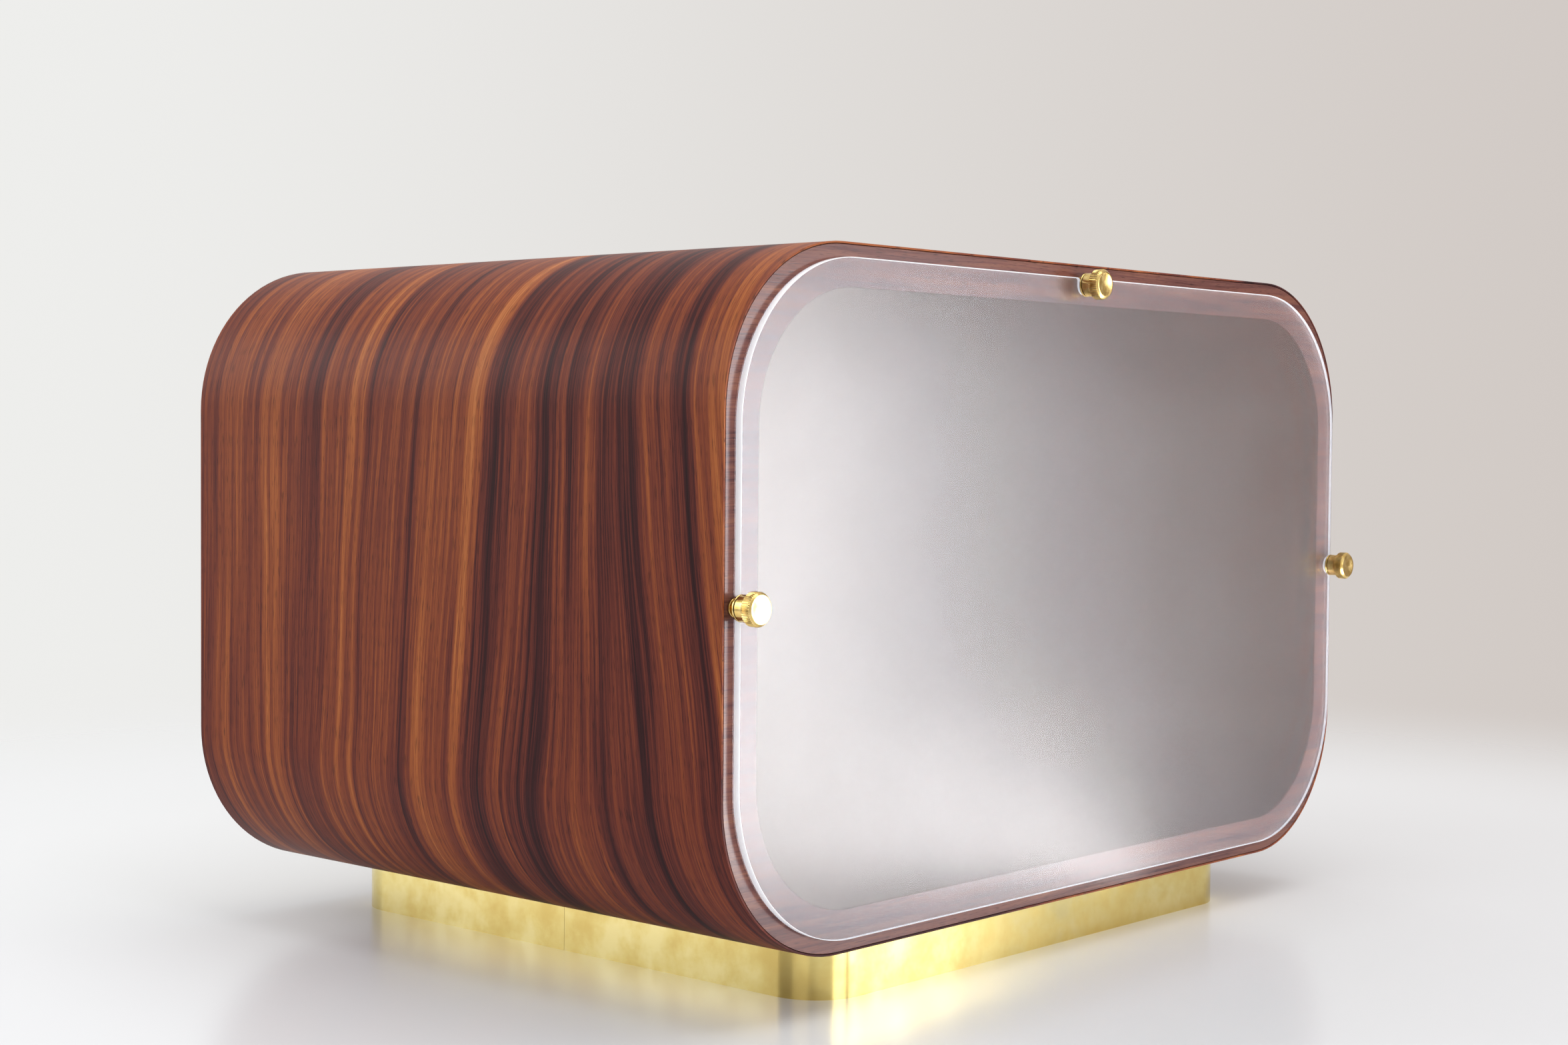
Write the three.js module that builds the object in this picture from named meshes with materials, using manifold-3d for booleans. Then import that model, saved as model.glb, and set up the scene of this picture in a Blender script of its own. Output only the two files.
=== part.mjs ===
// Television-style cabinet: a rounded case of veneered boards and corner blocks on a brass-clad
// plinth. A frosted sheet closes the front, held at its edge by three knurled thumb screws.
// Millimetres. +X is the viewer's right, +Y runs from the front to the back and +Z is up.
// The case is drawn with y = 0 on its front rim and z = 0 on the floor, then centred at the end.

import * as THREE from 'three';
import { mergeVertices } from 'three/addons/utils/BufferGeometryUtils.js';
import Module from 'manifold-3d';

const wasm = await Module();
wasm.setup();

// ---------------------------------------------------------------- driving dimensions

// Case
const BODY_WIDTH = 488;
const BODY_HEIGHT = 300;
const BODY_DEPTH = 353;
const BODY_RADIUS = 72;
const WALL = 19;
const INNER_RADIUS = 59;
const VENEER = 0.8;
const GAP = 0.3; // glue line or clearance between neighbouring pieces
const ARC_STEPS = 9; // half the number of facets in a quarter round

// Rear board, set into a rabbet
const REAR_RECESS = 45;
const RABBET = 10;
const REAR_BOARD = 12;
const REAR_BOARD_CLEARANCE = 0.4;
const REAR_SCREW_X = 120;
const REAR_SCREW_Z = 48;

// Splines that join the boards to the corner blocks
const SPLINE_WIDTH = 18;
const SPLINE_THICKNESS = 4;
const SPLINE_START = 30;
const SPLINE_END = 290;

// Front sheet
const SHEET_INSET = 6.5;
const SHEET_RADIUS = 70.5;
const SHEET_THICKNESS = 3.2;
const SHEET_STANDOFF = 0.4;
const NOTCH_RADIUS = 4.3;
const NOTCH_SHOULDER = 1.6;

// Thumb screws, washers and threaded bushes. The first three are how far each screw's axis
// stands in from the outside of the case.
const LEFT_SCREW_INSET = 6.5;
const RIGHT_SCREW_INSET = 7.5;
const TOP_SCREW_INSET = 9.8;
const WASHER_THICKNESS = 0.8;
const COLLAR_RADIUS = 5.6;
const COLLAR_LENGTH = 4.8;
const HEAD_RADIUS = 7.1;
const KNURL_DEPTH = 0.35;
const KNURL_COUNT = 44;
const KNURL_LENGTH = 4.4;
const HEAD_CHAMFER = 0.8;
const HEAD_DISH = 0.4;
const SHANK_RADIUS = 1.65;
const SHANK_DEPTH = 8.4; // how far the shank reaches behind the rim
const BUSH_BORE = 2;
const BUSH_RADIUS = 3.2;
const BUSH_LENGTH = 12;
const BUSH_FLANGE_RADIUS = 3.9;
const BUSH_FLANGE = 0.8;

// Plinth
const PLINTH_WIDTH = 332;
const PLINTH_DEPTH = 319;
const PLINTH_HEIGHT = 25;
const PLINTH_RADIUS = 25;
const PLINTH_SETBACK = 14;
const BRASS = 1;
const RAIL_WIDTH = 40;
const SEAM = 0.3;
const PLINTH_SCREW_X = 95;
const PLINTH_SCREW_MARGIN = 12; // from the rail's inner edge
const COUNTERBORE_RADIUS = 5;
const COUNTERBORE_DEPTH = 11;

// Wood screws
const REAR_SCREW = { head: 2.9, headHeight: 2, shank: 1.5, length: 26, slot: 0.8 };
const PLINTH_SCREW = { head: 4, headHeight: 2.6, shank: 2, length: 28, slot: 1 };
const SCREW_TIP = 4;
const ROUND_STEPS = 16;
const HEAD_STEPS = 24;

// ---------------------------------------------------------------- places worked out from them

const BODY_BOTTOM = PLINTH_HEIGHT + GAP;
const MID_Z = BODY_BOTTOM + BODY_HEIGHT / 2;
const SKIN = VENEER + GAP; // a veneer and its glue line
const HALF_WIDTH = BODY_WIDTH / 2;
const HALF_HEIGHT = BODY_HEIGHT / 2;
const SHOULDER_Y = BODY_DEPTH - REAR_RECESS;
const RABBET_INSET = WALL - RABBET;
const RABBET_RADIUS = INNER_RADIUS + RABBET;
const JOINT_X = HALF_WIDTH - WALL - INNER_RADIUS; // where a board meets a corner block
const JOINT_Z = HALF_HEIGHT - WALL - INNER_RADIUS;
const SHEET_FRONT = -(SHEET_STANDOFF + SHEET_THICKNESS);
const WASHER_FRONT = SHEET_FRONT - GAP - WASHER_THICKNESS;
const COLLAR_BACK = WASHER_FRONT - GAP;
const KNURL_BACK = COLLAR_BACK - COLLAR_LENGTH;
const HEAD_FRONT = KNURL_BACK - KNURL_LENGTH - HEAD_CHAMFER;
const PLINTH_MID_Y = PLINTH_SETBACK + PLINTH_DEPTH / 2;
const CENTRE_Y = (BODY_DEPTH + HEAD_FRONT) / 2;

const THUMB_SCREWS = {
  left: { x: -HALF_WIDTH + LEFT_SCREW_INSET, z: MID_Z },
  top: { x: 0, z: MID_Z + HALF_HEIGHT - TOP_SCREW_INSET },
  right: { x: HALF_WIDTH - RIGHT_SCREW_INSET, z: MID_Z },
};

// ---------------------------------------------------------------- finishes

const FINISHES = {
  rosewood: { color: 0x6b3a2a, roughness: 0.4, metalness: 0 },
  rim: { color: 0x7d4a3a, roughness: 0.45, metalness: 0 },
  lining: { color: 0x6a4336, roughness: 0.4, metalness: 0 },
  plywood: { color: 0xc9a877, roughness: 0.7, metalness: 0 },
  pale: { color: 0xe9e6df, roughness: 0.5, metalness: 0 },
  acrylic: { color: 0xe4e4ea, roughness: 0.5, metalness: 0 },
  brass: { color: 0xd8b24c, roughness: 0.25, metalness: 1 },
  steel: { color: 0x9a9a98, roughness: 0.4, metalness: 1 },
};

const model = new THREE.Group();

function add(name, geometry, finish, x = 0, y = 0, z = 0) {
  const mesh = new THREE.Mesh(geometry, new THREE.MeshStandardMaterial(FINISHES[finish]));
  mesh.name = name;
  mesh.position.set(x, y, z);
  model.add(mesh);
}

// ---------------------------------------------------------------- solids and cuts

function toSolid(geometry) {
  const bare = geometry.clone();
  bare.deleteAttribute('normal');
  bare.deleteAttribute('uv');
  const merged = mergeVertices(bare);
  return new wasm.Manifold(new wasm.Mesh({
    numProp: 3,
    vertProperties: new Float32Array(merged.attributes.position.array),
    triVerts: new Uint32Array(merged.index.array),
  }));
}

function toGeometry(solid) {
  const mesh = solid.getMesh();
  const geometry = new THREE.BufferGeometry();
  geometry.setAttribute('position', new THREE.BufferAttribute(mesh.vertProperties, 3));
  geometry.setIndex(new THREE.BufferAttribute(mesh.triVerts, 1));
  geometry.computeVertexNormals();
  return geometry;
}

function cut(geometry, ...tools) {
  let solid = toSolid(geometry);
  for (const tool of tools) {
    solid = solid.subtract(toSolid(tool));
  }
  return toGeometry(solid);
}

function common(geometry, tool) {
  return toGeometry(toSolid(geometry).intersect(toSolid(tool)));
}

// A box given by its lowest and highest corners.
function block(low, high) {
  const size = high.map((value, axis) => value - low[axis]);
  const middle = high.map((value, axis) => (value + low[axis]) / 2);
  return new THREE.BoxGeometry(...size).translate(...middle);
}

// A rod along Y, from yStart to yEnd.
function rod(radius, yStart, yEnd, x, z) {
  return new THREE.CylinderGeometry(radius, radius, yEnd - yStart, ROUND_STEPS)
    .translate(x, (yStart + yEnd) / 2, z);
}

// A rod along Z, from zStart to zEnd.
function post(radius, zStart, zEnd, x, y) {
  return new THREE.CylinderGeometry(radius, radius, zEnd - zStart, ROUND_STEPS)
    .rotateX(Math.PI / 2)
    .translate(x, y, (zStart + zEnd) / 2);
}

// An outline drawn in X and Z, made solid from yStart to yEnd.
function slab(shape, yStart, yEnd) {
  const options = { depth: yEnd - yStart, bevelEnabled: false, curveSegments: ARC_STEPS };
  return new THREE.ExtrudeGeometry(shape, options).rotateX(Math.PI / 2).translate(0, yEnd, 0);
}

// A closed outline turned about the Y axis. Points are [radius, y], from low y to high y.
function turned(points, steps = ROUND_STEPS) {
  return new THREE.LatheGeometry(points.map(([radius, y]) => new THREE.Vector2(radius, y)), steps);
}

// ---------------------------------------------------------------- outlines of the case

// A rounded rectangle on a centre, going anticlockwise from its lower right corner.
function roundedOutline(path, halfWidth, halfHeight, radius, centreY) {
  const x = halfWidth - radius;
  const y = halfHeight - radius;
  const quarter = Math.PI / 2;
  path.absarc(x, centreY - y, radius, -quarter, 0, false);
  path.absarc(x, centreY + y, radius, 0, quarter, false);
  path.absarc(-x, centreY + y, radius, quarter, 2 * quarter, false);
  path.absarc(-x, centreY - y, radius, 2 * quarter, 3 * quarter, false);
  path.closePath();
  return path;
}

// The case's outline, moved in by inset.
function caseOutline(path, inset, radius) {
  return roundedOutline(path, HALF_WIDTH - inset, HALF_HEIGHT - inset, radius, MID_Z);
}

// The wall between two such outlines.
function caseRing(outerInset, outerRadius, innerInset, innerRadius) {
  const shape = caseOutline(new THREE.Shape(), outerInset, outerRadius);
  shape.holes.push(caseOutline(new THREE.Path(), innerInset, innerRadius));
  return shape;
}

// ---------------------------------------------------------------- veneers

function addVeneers() {
  const back = BODY_DEPTH;
  const outer = caseRing(0, BODY_RADIUS, VENEER, BODY_RADIUS - VENEER);
  add('outer_veneer', cut(slab(outer, 0, back), ...plinthScrewHoles()), 'rosewood');

  const lining = caseRing(WALL - VENEER, INNER_RADIUS + VENEER, WALL, INNER_RADIUS);
  add('inner_lining', slab(lining, SKIN, SHOULDER_Y), 'lining');

  const frontRim = caseRing(SKIN, BODY_RADIUS - SKIN, WALL, INNER_RADIUS);
  add('front_rim_veneer', cut(slab(frontRim, 0, VENEER), ...bushHoles()), 'rim');

  const recess = caseRing(RABBET_INSET - VENEER, RABBET_RADIUS + VENEER, RABBET_INSET, RABBET_RADIUS);
  add('recess_lining', slab(recess, SHOULDER_Y + GAP, back - SKIN), 'lining');

  const rearRim = caseRing(SKIN, BODY_RADIUS - SKIN, RABBET_INSET, RABBET_RADIUS);
  add('rear_rim_veneer', slab(rearRim, back - VENEER, back), 'rim');
}

// ---------------------------------------------------------------- boards, corner blocks, splines

// Each spline bridges one joint between a board and a corner block.
function splineBoxes(margin) {
  const boxes = {};
  const wallMid = WALL / 2;
  for (const [sideName, side] of [['left', -1], ['right', 1]]) {
    for (const [levelName, level] of [['bottom', -1], ['top', 1]]) {
      const corner = `${levelName}_${sideName}`;
      const centres = {
        [`spline_${corner}_flat`]: [side * JOINT_X, MID_Z + level * (HALF_HEIGHT - wallMid), true],
        [`spline_${corner}_upright`]: [side * (HALF_WIDTH - wallMid), MID_Z + level * JOINT_Z, false],
      };
      for (const [name, [x, z, flat]] of Object.entries(centres)) {
        const halfX = (flat ? SPLINE_WIDTH : SPLINE_THICKNESS) / 2 + margin;
        const halfZ = (flat ? SPLINE_THICKNESS : SPLINE_WIDTH) / 2 + margin;
        boxes[name] = block(
          [x - halfX, SPLINE_START - margin, z - halfZ],
          [x + halfX, SPLINE_END + margin, z + halfZ],
        );
      }
    }
  }
  return boxes;
}

function bushHoles() {
  return Object.values(THUMB_SCREWS).map(
    ({ x, z }) => rod(BUSH_RADIUS + GAP, -1, BUSH_LENGTH + GAP, x, z),
  );
}

function plinthScrewPlaces() {
  const nearY = PLINTH_SETBACK + BRASS + GAP + RAIL_WIDTH - PLINTH_SCREW_MARGIN;
  const farY = 2 * PLINTH_MID_Y - nearY;
  return {
    plinth_screw_front_left: [-PLINTH_SCREW_X, nearY],
    plinth_screw_front_right: [PLINTH_SCREW_X, nearY],
    plinth_screw_rear_left: [-PLINTH_SCREW_X, farY],
    plinth_screw_rear_right: [PLINTH_SCREW_X, farY],
  };
}

function plinthScrewHoles() {
  const top = COUNTERBORE_DEPTH + PLINTH_SCREW.length;
  return Object.values(plinthScrewPlaces()).map(
    ([x, y]) => post(PLINTH_SCREW.shank + GAP, -1, top, x, y),
  );
}

function rearScrewPlaces() {
  const inset = (RABBET_INSET + WALL - SKIN) / 2;
  const places = {};
  for (const [sideName, side] of [['left', -1], ['right', 1]]) {
    for (const [levelName, level] of [['bottom', -1], ['top', 1]]) {
      const corner = `${levelName}_${sideName}`;
      places[`rear_screw_${corner}_flat`] = [side * REAR_SCREW_X, MID_Z + level * (HALF_HEIGHT - inset)];
      places[`rear_screw_${corner}_side`] = [side * (HALF_WIDTH - inset), MID_Z + level * REAR_SCREW_Z];
    }
  }
  return places;
}

function rearScrewHoles() {
  return Object.values(rearScrewPlaces()).map(
    ([x, z]) => rod(REAR_SCREW.shank + GAP, BODY_DEPTH - REAR_RECESS - REAR_SCREW.length, BODY_DEPTH, x, z),
  );
}

function addCarcass() {
  const wall = caseRing(SKIN, BODY_RADIUS - SKIN, WALL - SKIN, INNER_RADIUS + SKIN);
  const rabbet = caseOutline(new THREE.Shape(), RABBET_INSET - SKIN, RABBET_RADIUS + SKIN);
  const carcass = cut(
    slab(wall, SKIN, BODY_DEPTH - SKIN),
    slab(rabbet, SHOULDER_Y, BODY_DEPTH),
    ...Object.values(splineBoxes(GAP)),
    ...bushHoles(),
    ...plinthScrewHoles(),
    ...rearScrewHoles(),
  );

  const far = BODY_WIDTH;
  const half = GAP / 2;
  const boardX = JOINT_X - half;
  const boardZ = JOINT_Z - half;
  const inside = (low, high) => common(carcass, block([low[0], -1, low[1]], [high[0], far, high[1]]));

  add('top_board', inside([-boardX, MID_Z], [boardX, MID_Z + far]), 'plywood');
  add('bottom_board', inside([-boardX, MID_Z - far], [boardX, MID_Z]), 'plywood');
  add('left_board', inside([-far, MID_Z - boardZ], [0, MID_Z + boardZ]), 'plywood');
  add('right_board', inside([0, MID_Z - boardZ], [far, MID_Z + boardZ]), 'plywood');

  const blockX = JOINT_X + half;
  const blockZ = JOINT_Z + half;
  add('corner_block_top_left', inside([-far, MID_Z + blockZ], [-blockX, MID_Z + far]), 'plywood');
  add('corner_block_top_right', inside([blockX, MID_Z + blockZ], [far, MID_Z + far]), 'plywood');
  add('corner_block_bottom_left', inside([-far, MID_Z - far], [-blockX, MID_Z - blockZ]), 'plywood');
  add('corner_block_bottom_right', inside([blockX, MID_Z - far], [far, MID_Z - blockZ]), 'plywood');

  for (const [name, geometry] of Object.entries(splineBoxes(0))) {
    add(name, geometry, 'plywood');
  }
}

// ---------------------------------------------------------------- front sheet

// Adds a round-ended notch, open at a straight edge of the outline. The edge is met at the
// point [edgeX, edgeZ]; along is the way the outline is going, and the material lies to its left.
// depth is how far in from the edge the notch's round end is centred.
function addNotch(points, edgeX, edgeZ, along, depth) {
  const inward = [-along[1], along[0]];
  const place = (a, b) => points.push(new THREE.Vector2(
    edgeX + along[0] * a + inward[0] * b,
    edgeZ + along[1] * a + inward[1] * b,
  ));
  const rise = Math.max(NOTCH_SHOULDER - depth, 0);
  const reach = Math.sqrt((NOTCH_RADIUS + NOTCH_SHOULDER) ** 2 - rise ** 2);
  const turn = Math.asin(rise / (NOTCH_RADIUS + NOTCH_SHOULDER));
  const sweep = Math.PI / 2 - turn;
  const shoulderSteps = 6;
  const endSteps = 16;
  for (let i = 0; i <= shoulderSteps; i += 1) {
    const angle = (sweep * i) / shoulderSteps;
    place(-reach + NOTCH_SHOULDER * Math.sin(angle), NOTCH_SHOULDER * (1 - Math.cos(angle)));
  }
  for (let i = rise > 0 ? 1 : 0; i < endSteps + (rise > 0 ? 0 : 1); i += 1) {
    const angle = turn + ((Math.PI - 2 * turn) * i) / endSteps;
    place(-NOTCH_RADIUS * Math.cos(angle), depth + NOTCH_RADIUS * Math.sin(angle));
  }
  for (let i = shoulderSteps; i >= 0; i -= 1) {
    const angle = (sweep * i) / shoulderSteps;
    place(reach - NOTCH_SHOULDER * Math.sin(angle), NOTCH_SHOULDER * (1 - Math.cos(angle)));
  }
}

function addCorner(points, centreX, centreZ, startAngle) {
  const steps = 2 * ARC_STEPS;
  for (let i = 0; i <= steps; i += 1) {
    const angle = startAngle + (Math.PI / 2) * (i / steps);
    points.push(new THREE.Vector2(
      centreX + SHEET_RADIUS * Math.cos(angle),
      centreZ + SHEET_RADIUS * Math.sin(angle),
    ));
  }
}

function addFrontSheet() {
  const halfX = HALF_WIDTH - SHEET_INSET;
  const halfZ = HALF_HEIGHT - SHEET_INSET;
  const cornerX = halfX - SHEET_RADIUS;
  const cornerZ = halfZ - SHEET_RADIUS;
  const quarter = Math.PI / 2;
  const points = [];
  addCorner(points, cornerX, MID_Z - cornerZ, -quarter);
  addNotch(points, halfX, MID_Z, [0, 1], RIGHT_SCREW_INSET - SHEET_INSET);
  addCorner(points, cornerX, MID_Z + cornerZ, 0);
  addNotch(points, 0, MID_Z + halfZ, [-1, 0], TOP_SCREW_INSET - SHEET_INSET);
  addCorner(points, -cornerX, MID_Z + cornerZ, quarter);
  addNotch(points, -halfX, MID_Z, [0, -1], LEFT_SCREW_INSET - SHEET_INSET);
  addCorner(points, -cornerX, MID_Z - cornerZ, 2 * quarter);
  add('front_sheet', slab(new THREE.Shape(points), SHEET_FRONT, -SHEET_STANDOFF), 'acrylic');
}

// ---------------------------------------------------------------- thumb screws

// A knurled band: a star outline with one point for each ridge.
function knurledBand() {
  const shape = new THREE.Shape();
  for (let i = 0; i < 2 * KNURL_COUNT; i += 1) {
    const angle = (Math.PI * i) / KNURL_COUNT;
    const radius = i % 2 ? HEAD_RADIUS - KNURL_DEPTH : HEAD_RADIUS;
    const point = [radius * Math.cos(angle), radius * Math.sin(angle)];
    if (i === 0) {
      shape.moveTo(...point);
    } else {
      shape.lineTo(...point);
    }
  }
  shape.closePath();
  return slab(shape, KNURL_BACK - KNURL_LENGTH, KNURL_BACK);
}

function thumbScrew() {
  const land = HEAD_RADIUS - KNURL_DEPTH; // the knurl's root
  const bandMiddle = KNURL_BACK - KNURL_LENGTH / 2;
  const face = HEAD_FRONT;
  const cap = turned([
    [0, face + HEAD_DISH],
    [land - 2 * HEAD_CHAMFER, face],
    [land - HEAD_CHAMFER, face],
    [land, face + HEAD_CHAMFER],
    [0, bandMiddle],
  ], HEAD_STEPS);
  const stem = turned([
    [0, bandMiddle],
    [COLLAR_RADIUS, bandMiddle],
    [COLLAR_RADIUS, COLLAR_BACK],
    [SHANK_RADIUS, COLLAR_BACK],
    [SHANK_RADIUS, SHANK_DEPTH],
    [0, SHANK_DEPTH],
  ], HEAD_STEPS);
  return toGeometry(toSolid(knurledBand()).add(toSolid(cap)).add(toSolid(stem)));
}

function bush() {
  return turned([
    [BUSH_BORE, -GAP - BUSH_FLANGE],
    [BUSH_FLANGE_RADIUS, -GAP - BUSH_FLANGE],
    [BUSH_FLANGE_RADIUS, -GAP],
    [BUSH_RADIUS, -GAP],
    [BUSH_RADIUS, BUSH_LENGTH],
    [BUSH_BORE, BUSH_LENGTH],
    [BUSH_BORE, -GAP - BUSH_FLANGE],
  ]);
}

function washer() {
  return turned([
    [BUSH_BORE, WASHER_FRONT],
    [COLLAR_RADIUS, WASHER_FRONT],
    [COLLAR_RADIUS, WASHER_FRONT + WASHER_THICKNESS],
    [BUSH_BORE, WASHER_FRONT + WASHER_THICKNESS],
    [BUSH_BORE, WASHER_FRONT],
  ]);
}

function addThumbScrews() {
  for (const [side, { x, z }] of Object.entries(THUMB_SCREWS)) {
    add(`thumb_screw_${side}`, thumbScrew(), 'brass', x, 0, z);
    add(`washer_${side}`, washer(), 'brass', x, 0, z);
    add(`threaded_bush_${side}`, bush(), 'brass', x, 0, z);
  }
}

// ---------------------------------------------------------------- wood screws

// A countersunk slotted screw along Y. Its head's flat face is at y = 0 and it points to -Y.
function woodScrew({ head, headHeight, shank, length, slot }) {
  const body = turned([
    [0, -length],
    [shank, SCREW_TIP - length],
    [shank, -headHeight],
    [head, -0.3],
    [head, 0],
    [0, 0],
  ]);
  return cut(body, block([-head, -slot, -slot / 2], [head, slot, slot / 2]));
}

// The conical seat for such a head.
function countersink({ head, shank, headHeight }, y, x, z) {
  const depth = headHeight + GAP;
  return turned([
    [0, -depth],
    [shank + GAP, -depth],
    [head + GAP, 0],
    [head + GAP, 1],
    [0, 1],
  ]).translate(x, y, z);
}

// ---------------------------------------------------------------- rear board

function addRearBoard() {
  const front = SHOULDER_Y + GAP;
  const back = front + REAR_BOARD;
  const inset = RABBET_INSET + REAR_BOARD_CLEARANCE;
  const outline = caseOutline(new THREE.Shape(), inset, RABBET_RADIUS - REAR_BOARD_CLEARANCE);
  const places = Object.entries(rearScrewPlaces());
  const seats = places.map(([, [x, z]]) => countersink(REAR_SCREW, back, x, z));
  add('rear_board', cut(slab(outline, front, back), ...rearScrewHoles(), ...seats), 'pale');
  for (const [name, [x, z]] of places) {
    add(name, woodScrew(REAR_SCREW), 'brass', x, back, z);
  }
}

// ---------------------------------------------------------------- plinth

// The plinth's outline in X and Y, moved in by inset, made solid over its full height.
function plinthPrism(inset) {
  const shape = roundedOutline(
    new THREE.Shape(),
    PLINTH_WIDTH / 2 - inset,
    PLINTH_DEPTH / 2 - inset,
    PLINTH_RADIUS - inset,
    PLINTH_MID_Y,
  );
  const options = { depth: PLINTH_HEIGHT, bevelEnabled: false, curveSegments: ARC_STEPS };
  return new THREE.ExtrudeGeometry(shape, options);
}

function addPlinth() {
  const over = 1; // how far a cutting solid runs past what it cuts
  const seam = block(
    [-PLINTH_WIDTH / 2 - over, PLINTH_MID_Y - SEAM / 2, -over],
    [-PLINTH_WIDTH / 2 + 2 * BRASS, PLINTH_MID_Y + SEAM / 2, PLINTH_HEIGHT + over],
  );
  const hollow = plinthPrism(BRASS).scale(1, 1, 2).translate(0, 0, -PLINTH_HEIGHT / 2);
  add('brass_band', cut(plinthPrism(0), hollow, seam), 'brass');

  const inset = BRASS + GAP;
  const bores = Object.values(plinthScrewPlaces()).map(
    ([x, y]) => post(COUNTERBORE_RADIUS, -over, COUNTERBORE_DEPTH, x, y),
  );
  const core = cut(plinthPrism(inset), ...plinthScrewHoles(), ...bores);
  const halfX = PLINTH_WIDTH / 2 - inset;
  const nearY = PLINTH_SETBACK + inset;
  const farY = PLINTH_SETBACK + PLINTH_DEPTH - inset;
  const rail = (low, high) => common(core, block([...low, -over], [...high, PLINTH_HEIGHT + over]));
  add('plinth_rail_front', rail([-halfX, nearY - over], [halfX, nearY + RAIL_WIDTH]), 'plywood');
  add('plinth_rail_rear', rail([-halfX, farY - RAIL_WIDTH], [halfX, farY + over]), 'plywood');
  const sideNear = nearY + RAIL_WIDTH + GAP;
  const sideFar = farY - RAIL_WIDTH - GAP;
  const innerX = halfX - RAIL_WIDTH;
  add('plinth_rail_left', rail([-halfX - over, sideNear], [-innerX, sideFar]), 'plywood');
  add('plinth_rail_right', rail([innerX, sideNear], [halfX + over, sideFar]), 'plywood');

  const headLevel = COUNTERBORE_DEPTH - PLINTH_SCREW.headHeight - GAP;
  for (const [name, [x, y]] of Object.entries(plinthScrewPlaces())) {
    const upward = woodScrew(PLINTH_SCREW).rotateX(-Math.PI / 2);
    add(name, upward, 'steel', x, y, headLevel);
  }
}

// ---------------------------------------------------------------- assembly

addVeneers();
addCarcass();
addFrontSheet();
addThumbScrews();
addRearBoard();
addPlinth();

model.position.y = -CENTRE_Y;

export default model;
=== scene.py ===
# %% [markdown]
# # A television-shaped cabinet in rosewood veneer
# The object is a rounded case about half a metre wide. Dark striped veneer is wrapped round its
# girth, a frosted acrylic sheet closes its front, three knurled brass thumb screws hold the sheet
# at its edge, and a low plinth clad in sheet brass carries it all.
# The sizes were settled in CAD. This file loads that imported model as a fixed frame, and makes
# what the eye sees round it: finer meshes where the CAD has facets, and a real finish on each piece.

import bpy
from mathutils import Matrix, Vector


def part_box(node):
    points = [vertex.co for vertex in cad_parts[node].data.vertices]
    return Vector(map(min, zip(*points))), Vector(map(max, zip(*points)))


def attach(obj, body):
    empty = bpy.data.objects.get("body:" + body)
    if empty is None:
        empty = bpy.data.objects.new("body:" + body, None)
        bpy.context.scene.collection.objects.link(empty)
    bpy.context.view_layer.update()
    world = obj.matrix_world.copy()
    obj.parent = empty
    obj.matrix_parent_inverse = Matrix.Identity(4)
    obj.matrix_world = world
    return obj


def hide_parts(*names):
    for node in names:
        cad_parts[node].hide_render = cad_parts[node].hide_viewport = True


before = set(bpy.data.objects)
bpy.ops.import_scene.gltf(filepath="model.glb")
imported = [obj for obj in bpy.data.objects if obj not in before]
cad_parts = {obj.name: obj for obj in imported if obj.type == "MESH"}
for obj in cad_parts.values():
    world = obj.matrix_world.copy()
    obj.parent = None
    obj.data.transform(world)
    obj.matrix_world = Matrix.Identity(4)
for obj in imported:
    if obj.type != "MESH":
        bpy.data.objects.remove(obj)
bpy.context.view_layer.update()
print("pieces in the frame:", len(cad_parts))

# %% Other modules, and a millimetre in Blender's metres
import math

import bmesh
import bpy
from mathutils import Matrix, Vector

MM = 0.001

# %% [markdown]
# ## Places
# Every place comes from the frame. A few radii can't be read from a box, so they are
# named here with the values that the CAD uses.

# %% The case's outline and its three openings
case_low, case_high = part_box("outer_veneer")
lining_low, lining_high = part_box("inner_lining")
recess_low, recess_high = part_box("recess_lining")
rim_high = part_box("front_rim_veneer")[1]
MIDDLE = Vector((0, 0, (case_low.z + case_high.z) / 2))
RIM_Y = case_low.y
REAR_Y = case_high.y
CASE_RADIUS = 72 * MM
OPENING_RADIUS = 59 * MM
VENEER = 0.8 * MM
HALF_WIDTH = case_high.x
HALF_HEIGHT = case_high.z - MIDDLE.z
print("case in mm:", [round(side * 1000, 1) for side in case_high - case_low])
print("middle height in mm:", round(MIDDLE.z / MM, 1))

# %% [markdown]
# ## Camera
# The camera stands in front of the case, to its left and a little above its middle, and looks
# back at the near corner. That shows the long side of the veneer and the whole front at once.
# Its place is given from the middle of the front rim, so it moves with the case.

# %% Make the camera
CAMERA_FROM_RIM = Vector((-0.939, -0.649, 0.0712))
HEADING = math.radians(48.41)
LOOK_DOWN = math.radians(2.217)
TILT = math.radians(0.49)

camera_data = bpy.data.cameras.new("camera")
camera_data.sensor_width = 36
camera_data.lens = 55.11
camera = bpy.data.objects.new("camera", camera_data)
bpy.context.scene.collection.objects.link(camera)
camera_place = Matrix.Translation(Vector((0, RIM_Y, MIDDLE.z)) + CAMERA_FROM_RIM)
camera_turn = Matrix.Rotation(-HEADING, 4, "Z") @ Matrix.Rotation(math.pi / 2 - LOOK_DOWN, 4, "X")
camera.matrix_world = camera_place @ camera_turn @ Matrix.Rotation(TILT, 4, "Z")
bpy.context.scene.camera = camera
bpy.context.scene.view_settings.view_transform = "Standard"
print("camera at", [round(v, 3) for v in camera.matrix_world.translation])

# %% [markdown]
# ## Colours and nodes
# Colours are written as the hex values that a paint chart or a colour picker gives. Those are
# sRGB, while the renderer works in linear light, so one function turns each to linear.
# One more function adds a shader or geometry node, sets its options and fills its sockets.

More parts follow.
